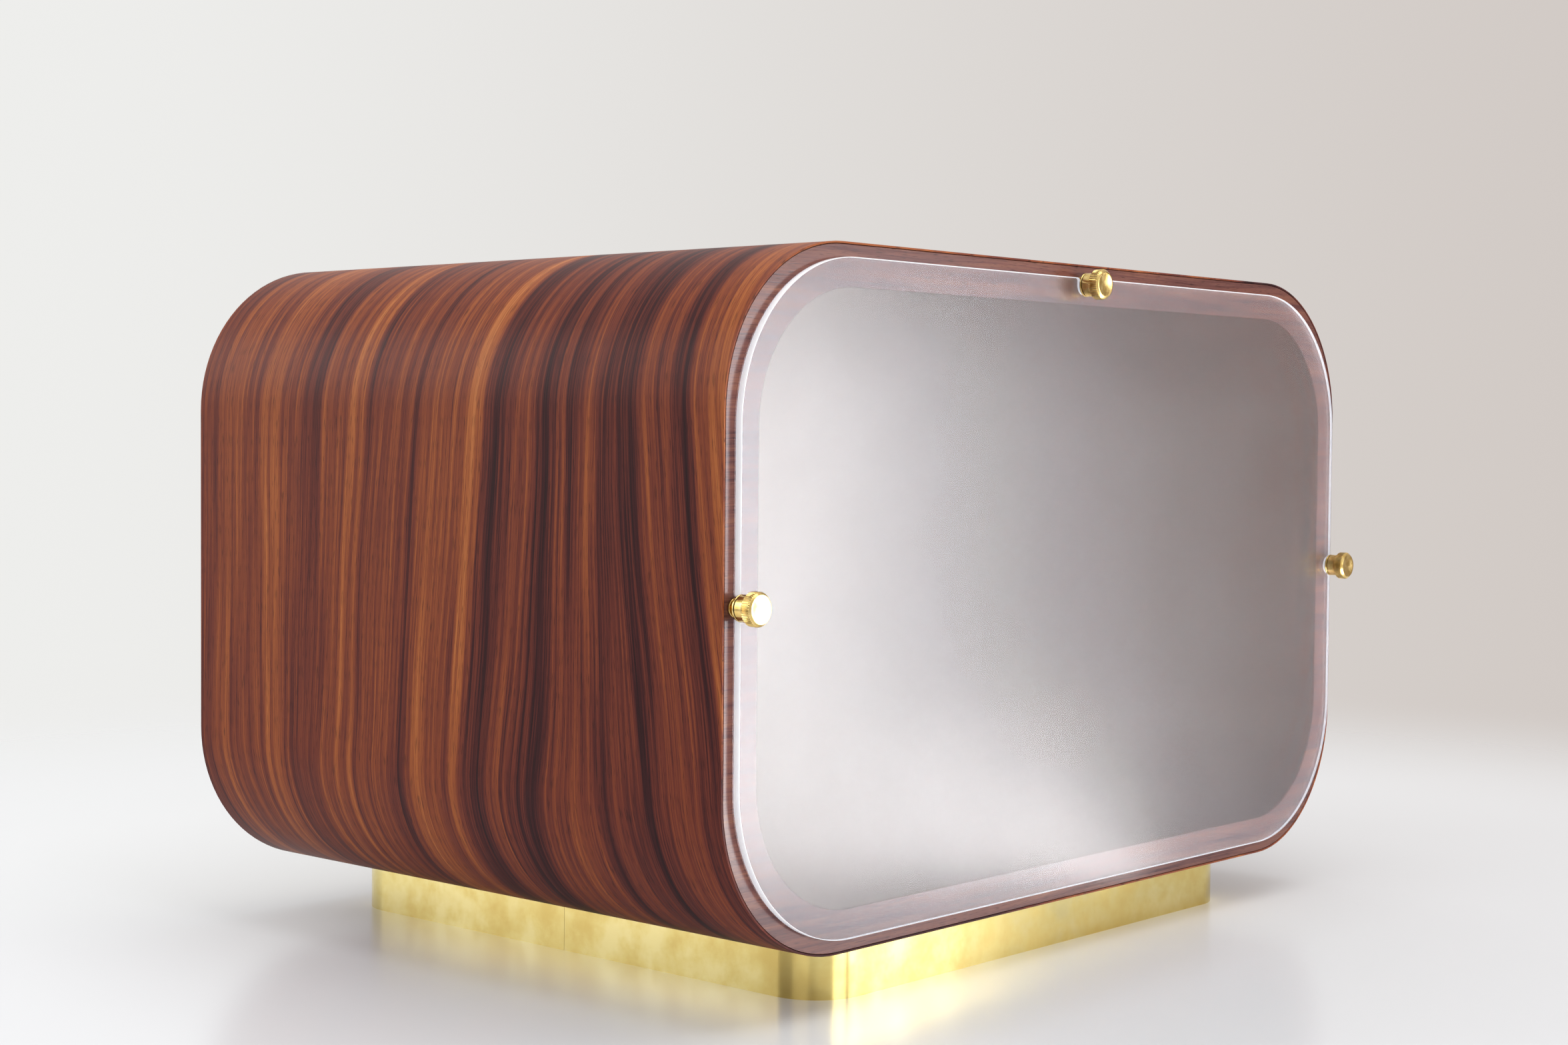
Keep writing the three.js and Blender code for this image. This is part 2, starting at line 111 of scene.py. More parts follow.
# %% From sRGB hex to linear light
def linear(text):
    """A colour such as "#6b3a2a" as linear red, green, blue and alpha."""
    channels = [int(text[i:i + 2], 16) / 255 for i in (1, 3, 5)]
    lit = [c / 12.92 if c <= 0.04045 else ((c + 0.055) / 1.055) ** 2.4 for c in channels]
    return (*lit, 1)


print("mid grey in linear light:", round(linear("#808080")[0], 3))

# %% Fill a node's sockets, and add one node
def fill(tree, made, inputs):
    """Fills a node's sockets, each with a value or with the output of another node."""
    for socket, value in inputs.items():
        if isinstance(value, bpy.types.NodeSocket):
            tree.links.new(value, made.inputs[socket])
        else:
            made.inputs[socket].default_value = value


def node(tree, kind, inputs=None, **options):
    """Adds a node to a tree, sets its options and fills its sockets."""
    made = tree.nodes.new(kind)
    for option, value in options.items():
        setattr(made, option, value)
    fill(tree, made, inputs or {})
    return made


def ramp(made, stops):
    """Sets the stops of a colour ramp node, each a place from 0 to 1 and a colour."""
    elements = made.color_ramp.elements
    while len(elements) < len(stops):
        elements.new(0.5)
    for element, (place, colour) in zip(elements, stops):
        element.position = place
        element.color = colour
    return made


def grey(value):
    """A ramp stop's colour that stands for a plain number."""
    return (value, value, value, 1)


# %% Start a material
def new_material(name):
    """A material with one Principled shader, and the tree to build it in."""
    material = bpy.data.materials.new(name)
    material.use_nodes = True
    tree = material.node_tree
    return material, tree, tree.nodes["Principled BSDF"]


# %% [markdown]
# ## Rosewood veneer
# The skin is sliced rosewood, 0.8 mm thick, under a thin satin lacquer. A sliced leaf shows the
# tree's growth rings as long stripes: purple-brown bands, red-brown wood between them and thin
# orange streaks. The stripes lean a little, because the log was never quite straight.
# It could be painted with one stretched noise, but every stripe would then be equally likely.
# A real leaf has its own figure, so its broad bands are a ramp of measured places and tones over
# the depth of the case, and noise adds only the streaks, the fibres and the pores.

# %% The leaf's broad bands: distance from the front rim in mm, and tone from 0 dark to 1 pale
# The places and tones are measured, not invented. Those from 226 mm on were then darkened.
LEAF_WIDTH = 353
LEAF_BANDS = (
    (0, 0.66), (8, 0.56), (13, 0.10), (19, 0.40), (29, 0.50), (39, 0.46), (49, 0.14), (61, 0.40),
    (68, 0.30), (81, 0.54), (90, 0.32), (98, 0.48), (109, 0.12), (123, 0.56), (140, 0.20),
    (148, 0.32), (155, 0.88), (161, 0.54), (173, 0.60), (185, 0.66), (195, 0.36), (209, 0.58),
    (226, 0.46), (241, 0.68), (253, 0.50), (273, 0.38), (284, 0.56), (299, 0.70), (307, 0.50),
    (332, 0.60), (344, 0.44), (353, 0.50),
)
# How far the stripes lean, measured as well: mm of depth for each mm of height on the left side.
LEAN_LIMIT = 0.15
LEAF_LEAN = ((0, 0.12), (45, 0.12), (78, 0.0), (110, -0.09), (200, -0.10), (260, -0.06), (310, 0.0))
ROSEWOOD_TONES = (
    (0.0, "#280e11"), (0.18, "#3f181a"), (0.42, "#6d3125"), (0.60, "#874328"),
    (0.80, "#a55b30"), (1.0, "#bd7340"),
)
print("bands in the leaf:", len(LEAF_BANDS))

# %% Grain, from a position across and along the leaf in mm
def grain(tree, across, along, streak, fibre, pore):
    """Streaks, fibres and pores, each a noise of a real width in mm that runs along the leaf."""
    outputs = []
    for width, length, detail, seed in (streak, fibre, pore):
        fine = node(tree, "ShaderNodeMath", {0: across, 1: 1 / width}, operation="MULTIPLY")
        slow = node(tree, "ShaderNodeMath", {0: along, 1: 1 / length}, operation="MULTIPLY")
        place = node(tree, "ShaderNodeCombineXYZ", {"X": fine.outputs[0], "Y": slow.outputs[0], "Z": seed})
        noise = node(tree, "ShaderNodeTexNoise", {
            "Vector": place.outputs[0], "Scale": 1.0, "Detail": detail, "Roughness": 0.62,
        })
        outputs.append(noise.outputs["Fac"])
    return outputs


# %% Build a wood material
WANDER_LENGTH = 150
WANDER_WIDTH = 70
# Far above real lacquer's 1.5, so that a pale thing beside a coated face shows in it.
COAT_IOR = 2.3


def wood(name, coordinates, tones, streaks, lacquer, sheen, bands=None, depth=0.25, coat=0.0):
    """Striped wood. coordinates(tree) gives where a point is across and along the leaf, in mm."""
    material, tree, shader = new_material(name)
    across, along = coordinates(tree)

    # A slow wander keeps the stripes from running dead straight.
    slow = node(tree, "ShaderNodeMath", {0: along, 1: 1 / WANDER_LENGTH}, operation="MULTIPLY")
    broad = node(tree, "ShaderNodeMath", {0: across, 1: 1 / WANDER_WIDTH}, operation="MULTIPLY")
    place = node(tree, "ShaderNodeCombineXYZ", {"X": broad.outputs[0], "Y": slow.outputs[0]})
    wander = node(tree, "ShaderNodeTexNoise", {"Vector": place.outputs[0], "Scale": 1.0, "Detail": 1.0})
    shift = node(tree, "ShaderNodeMapRange", {
        "Value": wander.outputs["Fac"], "To Min": -streaks["wander"], "To Max": streaks["wander"],
    })
    wandered = node(tree, "ShaderNodeMath", {0: across, 1: shift.outputs[0]}, operation="ADD")

    streak, fibre, pore = grain(
        tree, wandered.outputs[0], along, streaks["streak"], streaks["fibre"], streaks["pore"]
    )
    tone = node(tree, "ShaderNodeMapRange", {
        "Value": streak, "From Min": 0.25, "From Max": 0.75,
        "To Min": -streaks["contrast"], "To Max": streaks["contrast"],
    }, clamp=False)
    if bands:
        share = node(tree, "ShaderNodeMath", {
            0: wandered.outputs[0], 1: 1 / LEAF_WIDTH,
        }, operation="MULTIPLY")
        figure = ramp(
            node(tree, "ShaderNodeValToRGB", {"Fac": share.outputs[0]}),
            [(mm / LEAF_WIDTH, grey(value)) for mm, value in bands],
        )
        base = figure.outputs["Color"]
    else:
        base = 0.5
    toned = node(tree, "ShaderNodeMath", {0: base, 1: tone.outputs[0]}, operation="ADD")
    fibres = node(tree, "ShaderNodeMapRange", {
        "Value": fibre, "From Min": 0.3, "From Max": 0.7, "To Min": -0.14, "To Max": 0.14,
    }, clamp=False)
    mixed = node(tree, "ShaderNodeMath", {0: toned.outputs[0], 1: fibres.outputs[0]}, operation="ADD")
    colour = ramp(
        node(tree, "ShaderNodeValToRGB", {"Fac": mixed.outputs[0]}),
        [(place, linear(text)) for place, text in tones],
    )
    # Open pores are short dark dashes along the grain.
    pores = node(tree, "ShaderNodeMapRange", {
        "Value": pore, "From Min": 0.58, "From Max": 0.70, "To Min": 0.0, "To Max": 0.55,
    })
    darker = node(tree, "ShaderNodeMix", {
        0: pores.outputs[0], 6: colour.outputs["Color"], 7: linear("#220e0f"),
    }, data_type="RGBA")
    gloss = node(tree, "ShaderNodeMapRange", {
        "Value": fibre, "From Min": 0.3, "From Max": 0.7,
        "To Min": lacquer - 0.05, "To Max": lacquer + 0.05,
    })
    relief = node(tree, "ShaderNodeMath", {0: fibre, 1: pores.outputs[0]}, operation="SUBTRACT")
    bump = node(tree, "ShaderNodeBump", {
        "Height": relief.outputs[0], "Strength": depth, "Distance": 0.05 * MM,
    })
    fill(tree, shader, {
        "Base Color": darker.outputs[2], "Roughness": gloss.outputs[0], "Normal": bump.outputs["Normal"],
        "IOR": 1.5, "Specular IOR Level": sheen,
        "Coat Weight": coat, "Coat Roughness": 0.1, "Coat IOR": COAT_IOR,
    })
    return material


# %% Where a point is on a leaf that is wrapped round the girth
# The lean is steady over a side's height and swings back after it, like a wave this long in mm
# for each radian.
SWING = 130


def wrapped(length):
    """Coordinates for a leaf that starts at the middle of the case's underside."""
    def coordinates(tree):
        girth = node(tree, "ShaderNodeAttribute", attribute_name="girth")
        place = node(tree, "ShaderNodeTexCoord")
        split = node(tree, "ShaderNodeSeparateXYZ", {0: place.outputs["Object"]})
        depth = node(tree, "ShaderNodeMath", {0: split.outputs["Y"], 1: RIM_Y}, operation="SUBTRACT")
        depth = node(tree, "ShaderNodeMath", {0: depth.outputs[0], 1: 1 / MM}, operation="MULTIPLY")
        # Height above the middle of the left side, three quarters of the way round.
        height = node(tree, "ShaderNodeMath", {
            0: 0.75 * length, 1: girth.outputs["Fac"],
        }, operation="SUBTRACT")
        height = node(tree, "ShaderNodeMath", {0: height.outputs[0], 1: 1 / MM}, operation="MULTIPLY")
        swing = node(tree, "ShaderNodeMath", {0: height.outputs[0], 1: 1 / SWING}, operation="MULTIPLY")
        swing = node(tree, "ShaderNodeMath", {0: swing.outputs[0]}, operation="SINE")
        swing = node(tree, "ShaderNodeMath", {0: swing.outputs[0], 1: SWING}, operation="MULTIPLY")
        share = node(tree, "ShaderNodeMath", {0: depth.outputs[0], 1: 1 / LEAF_WIDTH}, operation="MULTIPLY")
        lean = ramp(
            node(tree, "ShaderNodeValToRGB", {"Fac": share.outputs[0]}),
            [(mm / LEAF_WIDTH, grey(0.5 + value / LEAN_LIMIT / 2)) for mm, value in LEAF_LEAN],
        )
        slope = node(tree, "ShaderNodeMapRange", {
            "Value": lean.outputs["Color"], "To Min": -LEAN_LIMIT, "To Max": LEAN_LIMIT,
        })
        moved = node(tree, "ShaderNodeMath", {
            0: slope.outputs[0], 1: swing.outputs[0],
        }, operation="MULTIPLY")
        across = node(tree, "ShaderNodeMath", {
            0: depth.outputs[0], 1: moved.outputs[0],
        }, operation="SUBTRACT")
        return across.outputs[0], height.outputs[0]
    return coordinates


# %% Where a point is on a leaf that is laid flat with its grain across the width
def laid_flat(tree):
    """Coordinates for the rims, whose grain runs from left to right."""
    place = node(tree, "ShaderNodeTexCoord")
    split = node(tree, "ShaderNodeSeparateXYZ", {0: place.outputs["Object"]})
    across = node(tree, "ShaderNodeMath", {0: split.outputs["Z"], 1: 1 / MM}, operation="MULTIPLY")
    along = node(tree, "ShaderNodeMath", {0: split.outputs["X"], 1: 1 / MM}, operation="MULTIPLY")
    return across.outputs[0], along.outputs[0]


# %% [markdown]
# ## Paths and skins
# The case's three skins and the brass band are all thin sheets bent round a rounded rectangle.
# A bevelled cube could stand in for them, but then the grain couldn't follow the bend.
# One geometry tree makes all four: it takes the path as a line, notes how far along it each
# point is, pulls the line out to a ribbon and gives the ribbon its thickness.

# %% Points round a rounded rectangle
def rounded_loop(half_a, half_b, radius, steps=24):
    """Points (a, b) once round a rounded rectangle, anticlockwise, from the middle of its lower side."""
    points = [(0.0, -half_b)]
    corners = ((1, -1, -90), (1, 1, 0), (-1, 1, 90), (-1, -1, 180))
    for side_a, side_b, start in corners:
        for i in range(steps + 1):
            angle = math.radians(start + 90 * i / steps)
            a = side_a * (half_a - radius) + radius * math.cos(angle)
            b = side_b * (half_b - radius) + radius * math.sin(angle)
            points.append((a, b))
    return points


def loop_length(points):
    """How long the way once round is."""
    return sum(math.dist(a, b) for a, b in zip(points, points[1:] + points[:1]))


girth_length = loop_length(rounded_loop(HALF_WIDTH, HALF_HEIGHT, CASE_RADIUS))
print("girth of the case in mm:", round(girth_length / MM, 1))

# %% Start a geometry tree, and run one
def new_tree(name, inputs):
    """An empty geometry tree with named inputs."""
    tree = bpy.data.node_groups.new(name, "GeometryNodeTree")
    tree.interface.new_socket("Geometry", in_out="INPUT", socket_type="NodeSocketGeometry")
    for label, kind in inputs.items():
        tree.interface.new_socket(label, in_out="INPUT", socket_type=kind)
    tree.interface.new_socket("Geometry", in_out="OUTPUT", socket_type="NodeSocketGeometry")
    return tree, tree.nodes.new("NodeGroupInput"), tree.nodes.new("NodeGroupOutput")


def close_tree(tree, geometry, material, way_out):
    """Ends a tree: its instances become real, and the whole takes the material."""
    real = node(tree, "GeometryNodeRealizeInstances", {"Geometry": geometry})
    finished = node(tree, "GeometryNodeSetMaterial", {
        "Geometry": real.outputs["Geometry"], "Material": material,
    })
    tree.links.new(finished.outputs["Geometry"], way_out.inputs["Geometry"])


def link_object(name, mesh):
    """Puts a mesh in the scene."""
    made = bpy.data.objects.new(name, mesh)
    bpy.context.scene.collection.objects.link(made)
    return made


def grow(name, mesh, tree, values):
    """Runs a geometry tree on a mesh, and keeps what it made as a plain mesh."""
    seed = link_object(name + ".seed", mesh)
    modifier = seed.modifiers.new("tree", "NODES")
    modifier.node_group = tree
    for item in tree.interface.items_tree:
        if item.in_out == "INPUT" and item.name in values:
            modifier[item.identifier] = values[item.name]
    depsgraph = bpy.context.evaluated_depsgraph_get()
    result = bpy.data.meshes.new_from_object(
        seed.evaluated_get(depsgraph), preserve_all_data_layers=True, depsgraph=depsgraph
    )
    bpy.data.objects.remove(seed)
    result.name = name
    made = link_object(name, result)
    print(name, "has", len(result.polygons), "faces")
    return made


# %% Shade smoothly, but keep real edges
def shade(piece, angle=32):
    """Smooth shading that stops at edges sharper than the angle."""
    piece.data.shade_smooth()
    piece.data.set_sharp_from_angle(angle=math.radians(angle))
    return piece


# %% The tree for a sheet bent round a path
skin_tree, skin_in, skin_out = new_tree("bent_sheet", {
    "Width": "NodeSocketFloat",
    "Thickness": "NodeSocketFloat",
    "Direction": "NodeSocketVector",
    "Material": "NodeSocketMaterial",
})
line = node(skin_tree, "GeometryNodeMeshToCurve", {"Mesh": skin_in.outputs["Geometry"]})
travelled = node(skin_tree, "GeometryNodeSplineParameter")
measured = node(skin_tree, "GeometryNodeStoreNamedAttribute", {
    "Geometry": line.outputs["Curve"], "Name": "girth", "Value": travelled.outputs["Length"],
}, data_type="FLOAT", domain="POINT")
wire = node(skin_tree, "GeometryNodeCurveToMesh", {"Curve": measured.outputs["Geometry"]})
width = node(skin_tree, "ShaderNodeVectorMath", {
    0: skin_in.outputs["Direction"], "Scale": skin_in.outputs["Width"],
}, operation="SCALE")
ribbon = node(skin_tree, "GeometryNodeExtrudeMesh", {
    "Mesh": wire.outputs["Mesh"], "Offset": width.outputs["Vector"],
}, mode="EDGES")
thick = node(skin_tree, "GeometryNodeExtrudeMesh", {
    "Mesh": ribbon.outputs["Mesh"], "Offset Scale": skin_in.outputs["Thickness"], "Individual": False,
}, mode="FACES")
inner = node(skin_tree, "GeometryNodeFlipFaces", {"Mesh": ribbon.outputs["Mesh"]})
both = node(skin_tree, "GeometryNodeJoinGeometry")
skin_tree.links.new(thick.outputs["Mesh"], both.inputs["Geometry"])
skin_tree.links.new(inner.outputs["Mesh"], both.inputs["Geometry"])
welded = node(skin_tree, "GeometryNodeMergeByDistance", {
    "Geometry": both.outputs["Geometry"], "Distance": 0.005 * MM,
})
close_tree(skin_tree, welded.outputs["Geometry"], skin_in.outputs["Material"], skin_out)
print("nodes in the bent sheet:", len(skin_tree.nodes))

# %% Lay out a path and bend a sheet round it
def bent_sheet(name, places, direction, width, thickness, material):
    """A sheet that starts on the line of places, is as wide as asked and grows outwards."""
    mesh = bpy.data.meshes.new(name)
    mesh.from_pydata(places, [(i, i + 1) for i in range(len(places) - 1)], [])
    made = grow(name, mesh, skin_tree, {
        "Width": width, "Thickness": thickness, "Direction": direction, "Material": material,
    })
    return shade(made)


def skin_path(inset, radius, y, gap):
    """A loop on the case, moved in by inset, left open by a butt joint in the middle of the underside."""
    loop = rounded_loop(HALF_WIDTH - inset, HALF_HEIGHT - inset, radius)
    first, last = (gap / 2, loop[0][1]), (-gap / 2, loop[0][1])
    return [(x, y, MIDDLE.z + z) for x, z in [first, *loop[1:], last]]


# %% [markdown]
# ## The outer veneer
# One leaf goes right round the case with its grain along the girth. Its two ends meet in a butt
# joint under the case. It covers the full depth, so at the front only its edge shows, as a thin
# dark line beside the rim.

# %% Make and wrap the outer veneer
outer_rosewood = wood(
    "lacquered_rosewood_veneer", wrapped(girth_length), ROSEWOOD_TONES,
    {
        "wander": 5, "contrast": 0.34,
        "streak": (4.2, 300, 4, 0), "fibre": (0.9, 80, 2, 7), "pore": (0.5, 9, 1, 13),
    },
    bands=LEAF_BANDS, lacquer=0.44, sheen=0.12,
)
JOINT = 0.05 * MM
outer_veneer = bent_sheet(
    "veneer_wrap", skin_path(VENEER, CASE_RADIUS - VENEER, RIM_Y, JOINT), (0, 1, 0),
    REAR_Y - RIM_Y, VENEER, outer_rosewood,
)
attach(outer_veneer, "cabinet")
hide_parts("outer_veneer")

# %% [markdown]
# ## Sections carried round a loop
# The rims and everything turned on a lathe are a section carried round a closed loop: a
# rounded rectangle for a rim, a circle for a turned part.
# Listing the section's points one by one lets each edge have its own small chamfer, which
# is what catches the light. Loops of no size are poles, and merging their doubles closes them.

# %% Carry a section round a loop
def mesh_from(cage, name):
    """Turns a finished cage into a mesh, and frees the cage."""
    mesh = bpy.data.meshes.new(name)
    cage.to_mesh(mesh)
    cage.free()
    return mesh


def swept(name, section, loop_at, centre=(0, 0, 0)):
    """A closed mesh from (size, y) points. loop_at(size) gives the loop of (x, z) points."""
    cage = bmesh.new()
    layer = cage.loops.layers.uv.new("surface")
    rings = []
    travelled = [0.0]
    for size, y in section:
        rings.append([cage.verts.new((x, y, z)) for x, z in loop_at(size)])
    for a, b in zip(section, section[1:]):
        travelled.append(travelled[-1] + math.dist(a, b))
    count = len(rings[0])
    for i in range(len(rings) - 1):
        for k in range(count):
            after = (k + 1) % count
            face = cage.faces.new((rings[i][k], rings[i][after], rings[i + 1][after], rings[i + 1][k]))
            spots = ((i, k), (i, k + 1), (i + 1, k + 1), (i + 1, k))
            for loop, (across, around) in zip(face.loops, spots):
                loop[layer].uv = (travelled[across], around / count)
    bmesh.ops.remove_doubles(cage, verts=cage.verts, dist=0.001 * MM)
    bmesh.ops.recalc_face_normals(cage, faces=cage.faces)
    bmesh.ops.translate(cage, verts=cage.verts, vec=centre)
    return mesh_from(cage, name)


def circle(steps):
    """A loop function for a turned part."""
    turns = [2 * math.pi * k / steps for k in range(steps)]
    return lambda radius: [(radius * math.cos(turn), radius * math.sin(turn)) for turn in turns]


def case_loop(radius_at_side):
    """A loop function for a ring on the case, where size is the inset from the case's side."""
    def loop(inset):
        return rounded_loop(HALF_WIDTH - inset, HALF_HEIGHT - inset, radius_at_side(inset))
    return loop


# %% Drill round holes through a piece
def take_away(piece, tool):
    """Cuts a tool's shape out of a piece when the piece is next evaluated."""
    cut = piece.modifiers.new("cut", "BOOLEAN")
    cut.operation = "DIFFERENCE"
    cut.solver = "EXACT"
    cut.object = tool


def drilled(piece, holes):
    """Cuts a hole for each (x, z, radius), along Y through the whole piece."""
    low, high = piece.data.vertices[0].co.copy(), piece.data.vertices[0].co.copy()
    for vertex in piece.data.vertices:
        low = Vector(map(min, low, vertex.co))
        high = Vector(map(max, high, vertex.co))
    over = 1 * MM
    tools = []
    for x, z, radius in holes:
        section = ((0, low.y - over), (radius, low.y - over), (radius, high.y + over), (0, high.y + over))
        tool = link_object("drill", swept("drill", section, circle(32), (x, 0, z)))
        take_away(piece, tool)
        tools.append(tool)
    depsgraph = bpy.context.evaluated_depsgraph_get()
    result = bpy.data.meshes.new_from_object(
        piece.evaluated_get(depsgraph), preserve_all_data_layers=True, depsgraph=depsgraph
    )
    piece.modifiers.clear()
    piece.data = result
    for tool in tools:
        bpy.data.objects.remove(tool)
    return piece


def middle_of(name):
    """The middle of a CAD node's box."""
    low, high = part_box(name)
    return (low + high) / 2


SIDES = ("left", "top", "right")
screw_places = {side: middle_of("thumb_screw_" + side) for side in SIDES}
print("thumb screws at", {side: (round(p.x, 4), round(p.z, 4)) for side, p in screw_places.items()})

# %% [markdown]
# ## Linings and rims
# The inside is lined with the same wood, and so is the recess behind the rear board. Their
# lacquer is thicker and glossier, so the pale rear board shows in them as a soft reflection. It
# is drawn with a coat that mirrors more than real lacquer does, or that reflection would be lost.
# Flat rings of veneer cover the edges of the boards at the front and the back. They are cut
# from leaves laid with the grain from left to right, and their edges are eased with fine paper.

# %% Line the inside
LINING_TONES = (
    (0.0, "#341a16"), (0.3, "#582e24"), (0.55, "#7a422e"), (0.8, "#935539"), (1.0, "#a96640"),
)
LINING_STREAKS = {
    "wander": 5, "contrast": 0.2,
    "streak": (5, 240, 3, 3), "fibre": (0.9, 60, 2, 9), "pore": (0.5, 9, 1, 17),
}
lining_inset = HALF_WIDTH - lining_high.x + VENEER
recess_inset = HALF_WIDTH - recess_high.x + VENEER
RECESS_RADIUS = OPENING_RADIUS + lining_inset - recess_inset
linings = (
    ("lining_wrap", "inner_lining", lining_inset, OPENING_RADIUS, lining_low, lining_high),
    ("recess_wrap", "recess_lining", recess_inset, RECESS_RADIUS, recess_low, recess_high),
)
for name, cad_name, inset, radius, low, high in linings:
    length = loop_length(rounded_loop(HALF_WIDTH - inset, HALF_HEIGHT - inset, radius))
    finish = wood(
        "satin_" + name + "_veneer", wrapped(length), LINING_TONES, LINING_STREAKS,
        lacquer=0.24, sheen=0.6, depth=0.08, coat=1.0,
    )
    lining = bent_sheet(
        name, skin_path(inset, radius, low.y, JOINT), (0, 1, 0), high.y - low.y, VENEER, finish
    )
    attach(lining, "cabinet")
    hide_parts(cad_name)

# %% Lay the rims
RIM_TONES = (
    (0.0, "#35181c"), (0.22, "#4e292b"), (0.5, "#72443b"), (0.75, "#845241"), (1.0, "#99634a"),
)
rim_rosewood = wood(
    "lacquered_rosewood_rim", laid_flat, RIM_TONES,
    {
        "wander": 4, "contrast": 0.3,
        "streak": (5.0, 160, 3, 21), "fibre": (0.8, 50, 2, 25), "pore": (0.45, 8, 1, 29),
    },
    lacquer=0.22, sheen=0.4, depth=0.15,
)
EASE = 0.12 * MM
OUTER_INSET = HALF_WIDTH - rim_high.x


def rim_section(face, back, outer, inner):
    """A flat ring's section, with both edges of its outward face eased."""
    eased = face + math.copysign(EASE, back - face)
    return (
        (outer, back), (outer, eased), (outer + EASE, face),
        (inner - EASE, face), (inner, eased), (inner, back), (outer, back),
    )


def rim(name, cad_name, face, back, inner_inset, inner_radius, holes):
    """A ring of veneer over the edges of the boards."""
    def radius_at(inset):
        share = (inset - OUTER_INSET) / (inner_inset - OUTER_INSET)
        outer_radius = CASE_RADIUS - OUTER_INSET
        return outer_radius + share * (inner_radius - outer_radius)
    mesh = swept(name, rim_section(face, back, OUTER_INSET, inner_inset), case_loop(radius_at))
    made = link_object(name, mesh)
    mesh.transform(Matrix.Translation(MIDDLE))
    if holes:
        drilled(made, holes)
    made.data.materials.clear()
    made.data.materials.append(rim_rosewood)
    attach(shade(made), "cabinet")
    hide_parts(cad_name)
    print(name, "has", len(made.data.polygons), "faces")


BUSH_HOLE = 3.5 * MM
bush_holes = [(place.x, place.z, BUSH_HOLE) for place in screw_places.values()]
rim("front_rim", "front_rim_veneer", RIM_Y, RIM_Y + VENEER, lining_inset, OPENING_RADIUS, bush_holes)
rim("rear_rim", "rear_rim_veneer", REAR_Y, REAR_Y - VENEER, recess_inset, RECESS_RADIUS, [])

# %% [markdown]
# ## Plywood, and the pale rear board
# The boards and blocks under the veneer are birch plywood: thin plies of pale wood, glued with
# their grain crossed, so a cut edge shows light and brown stripes 1.4 mm apart.
# The rear board is plywood too, sprayed with a thick off-white lacquer that hides the grain
# and leaves a faint orange peel.

# %% Birch plywood, with its plies stacked along one axis
PLY = 1.4


def plywood(stacked):
    """Birch plywood whose layers are stacked along an axis of the case."""
    material, tree, shader = new_material("birch_plywood_along_" + stacked)
    place = node(tree, "ShaderNodeTexCoord")
    split = node(tree, "ShaderNodeSeparateXYZ", {0: place.outputs["Object"]})
    layer = node(tree, "ShaderNodeMath", {
        0: split.outputs[stacked], 1: 1 / (PLY * MM),
    }, operation="MULTIPLY")
    turned = node(tree, "ShaderNodeMath", {0: layer.outputs[0], 1: math.pi}, operation="MULTIPLY")
    swing = node(tree, "ShaderNodeMath", {0: turned.outputs[0]}, operation="SINE")
    fibres = node(tree, "ShaderNodeTexNoise", {
        "Vector": place.outputs["Object"], "Scale": 420.0, "Detail": 4.0, "Roughness": 0.6,
    })
    mixed = node(tree, "ShaderNodeMath", {0: swing.outputs[0], 1: fibres.outputs["Fac"]}, operation="ADD")
    colour = ramp(
        node(tree, "ShaderNodeValToRGB", {"Fac": mixed.outputs[0]}),
        [(0.0, linear("#b8905c")), (0.35, linear("#cfae7c")), (1.0, linear("#dcc093"))],
    )
    bump = node(tree, "ShaderNodeBump", {
        "Height": fibres.outputs["Fac"], "Strength": 0.3, "Distance": 0.1 * MM,
    })
    fill(tree, shader, {
        "Base Color": colour.outputs["Color"], "Roughness": 0.68, "Normal": bump.outputs["Normal"],
    })
    return material


plies = {axis: plywood(axis) for axis in "XYZ"}


def finish_node(name, material):
    """Gives a CAD node that stays in view its finish."""
    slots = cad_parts[name].data.materials
    slots.clear()
    slots.append(material)


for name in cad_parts:
    if name in ("top_board", "bottom_board") or name.startswith("plinth_rail"):
        finish_node(name, plies["Z"])
    elif name in ("left_board", "right_board"):
        finish_node(name, plies["X"])
    elif name.startswith("corner_block"):
        finish_node(name, plies["Y"])
    elif name.startswith("spline"):
        finish_node(name, plies["Z" if name.endswith("flat") else "X"])

# %% Sprayed lacquer for the rear board
def lacquer():
    """Off-white cellulose lacquer: a soft sheen over orange peel about 2.5 mm across."""
    material, tree, shader = new_material("sprayed_white_lacquer")
    place = node(tree, "ShaderNodeTexCoord")
    peel = node(tree, "ShaderNodeTexNoise", {
        "Vector": place.outputs["Object"], "Scale": 1 / (2.5 * MM), "Detail": 2.0,
    })
    cloud = node(tree, "ShaderNodeTexNoise", {
        "Vector": place.outputs["Object"], "Scale": 1 / (90 * MM), "Detail": 2.0,
    })
    colour = ramp(
        node(tree, "ShaderNodeValToRGB", {"Fac": cloud.outputs["Fac"]}),
        [(0.3, linear("#efe4d3")), (0.7, linear("#f5ecde"))],
    )
    gloss = node(tree, "ShaderNodeMapRange", {
        "Value": peel.outputs["Fac"], "To Min": 0.34, "To Max": 0.46,
    })
    bump = node(tree, "ShaderNodeBump", {
        "Height": peel.outputs["Fac"], "Strength": 0.15, "Distance": 0.08 * MM,
    })
    fill(tree, shader, {
        "Base Color": colour.outputs["Color"], "Roughness": gloss.outputs[0],
        "Normal": bump.outputs["Normal"],
    })
    return material


finish_node("rear_board", lacquer())

# %% [markdown]
# ## The frosted front sheet
# The front is 3.2 mm cast acrylic. Both faces are frosted with fine grit, so each point
# spreads what passes through it over a few degrees: the rim just behind it stays readable, and
# the far end of the case melts into a blur. Its edge is flame polished, and light trapped
# in the sheet leaves there as a white line, drawn here as a painted glow.
# Painting a grey gradient would look right from one side only. A real slab with a rough
# surface does it from all sides, so the sheet is a closed solid with two finishes.

# %% Frosted and polished acrylic
ACRYLIC_IOR = 1.49
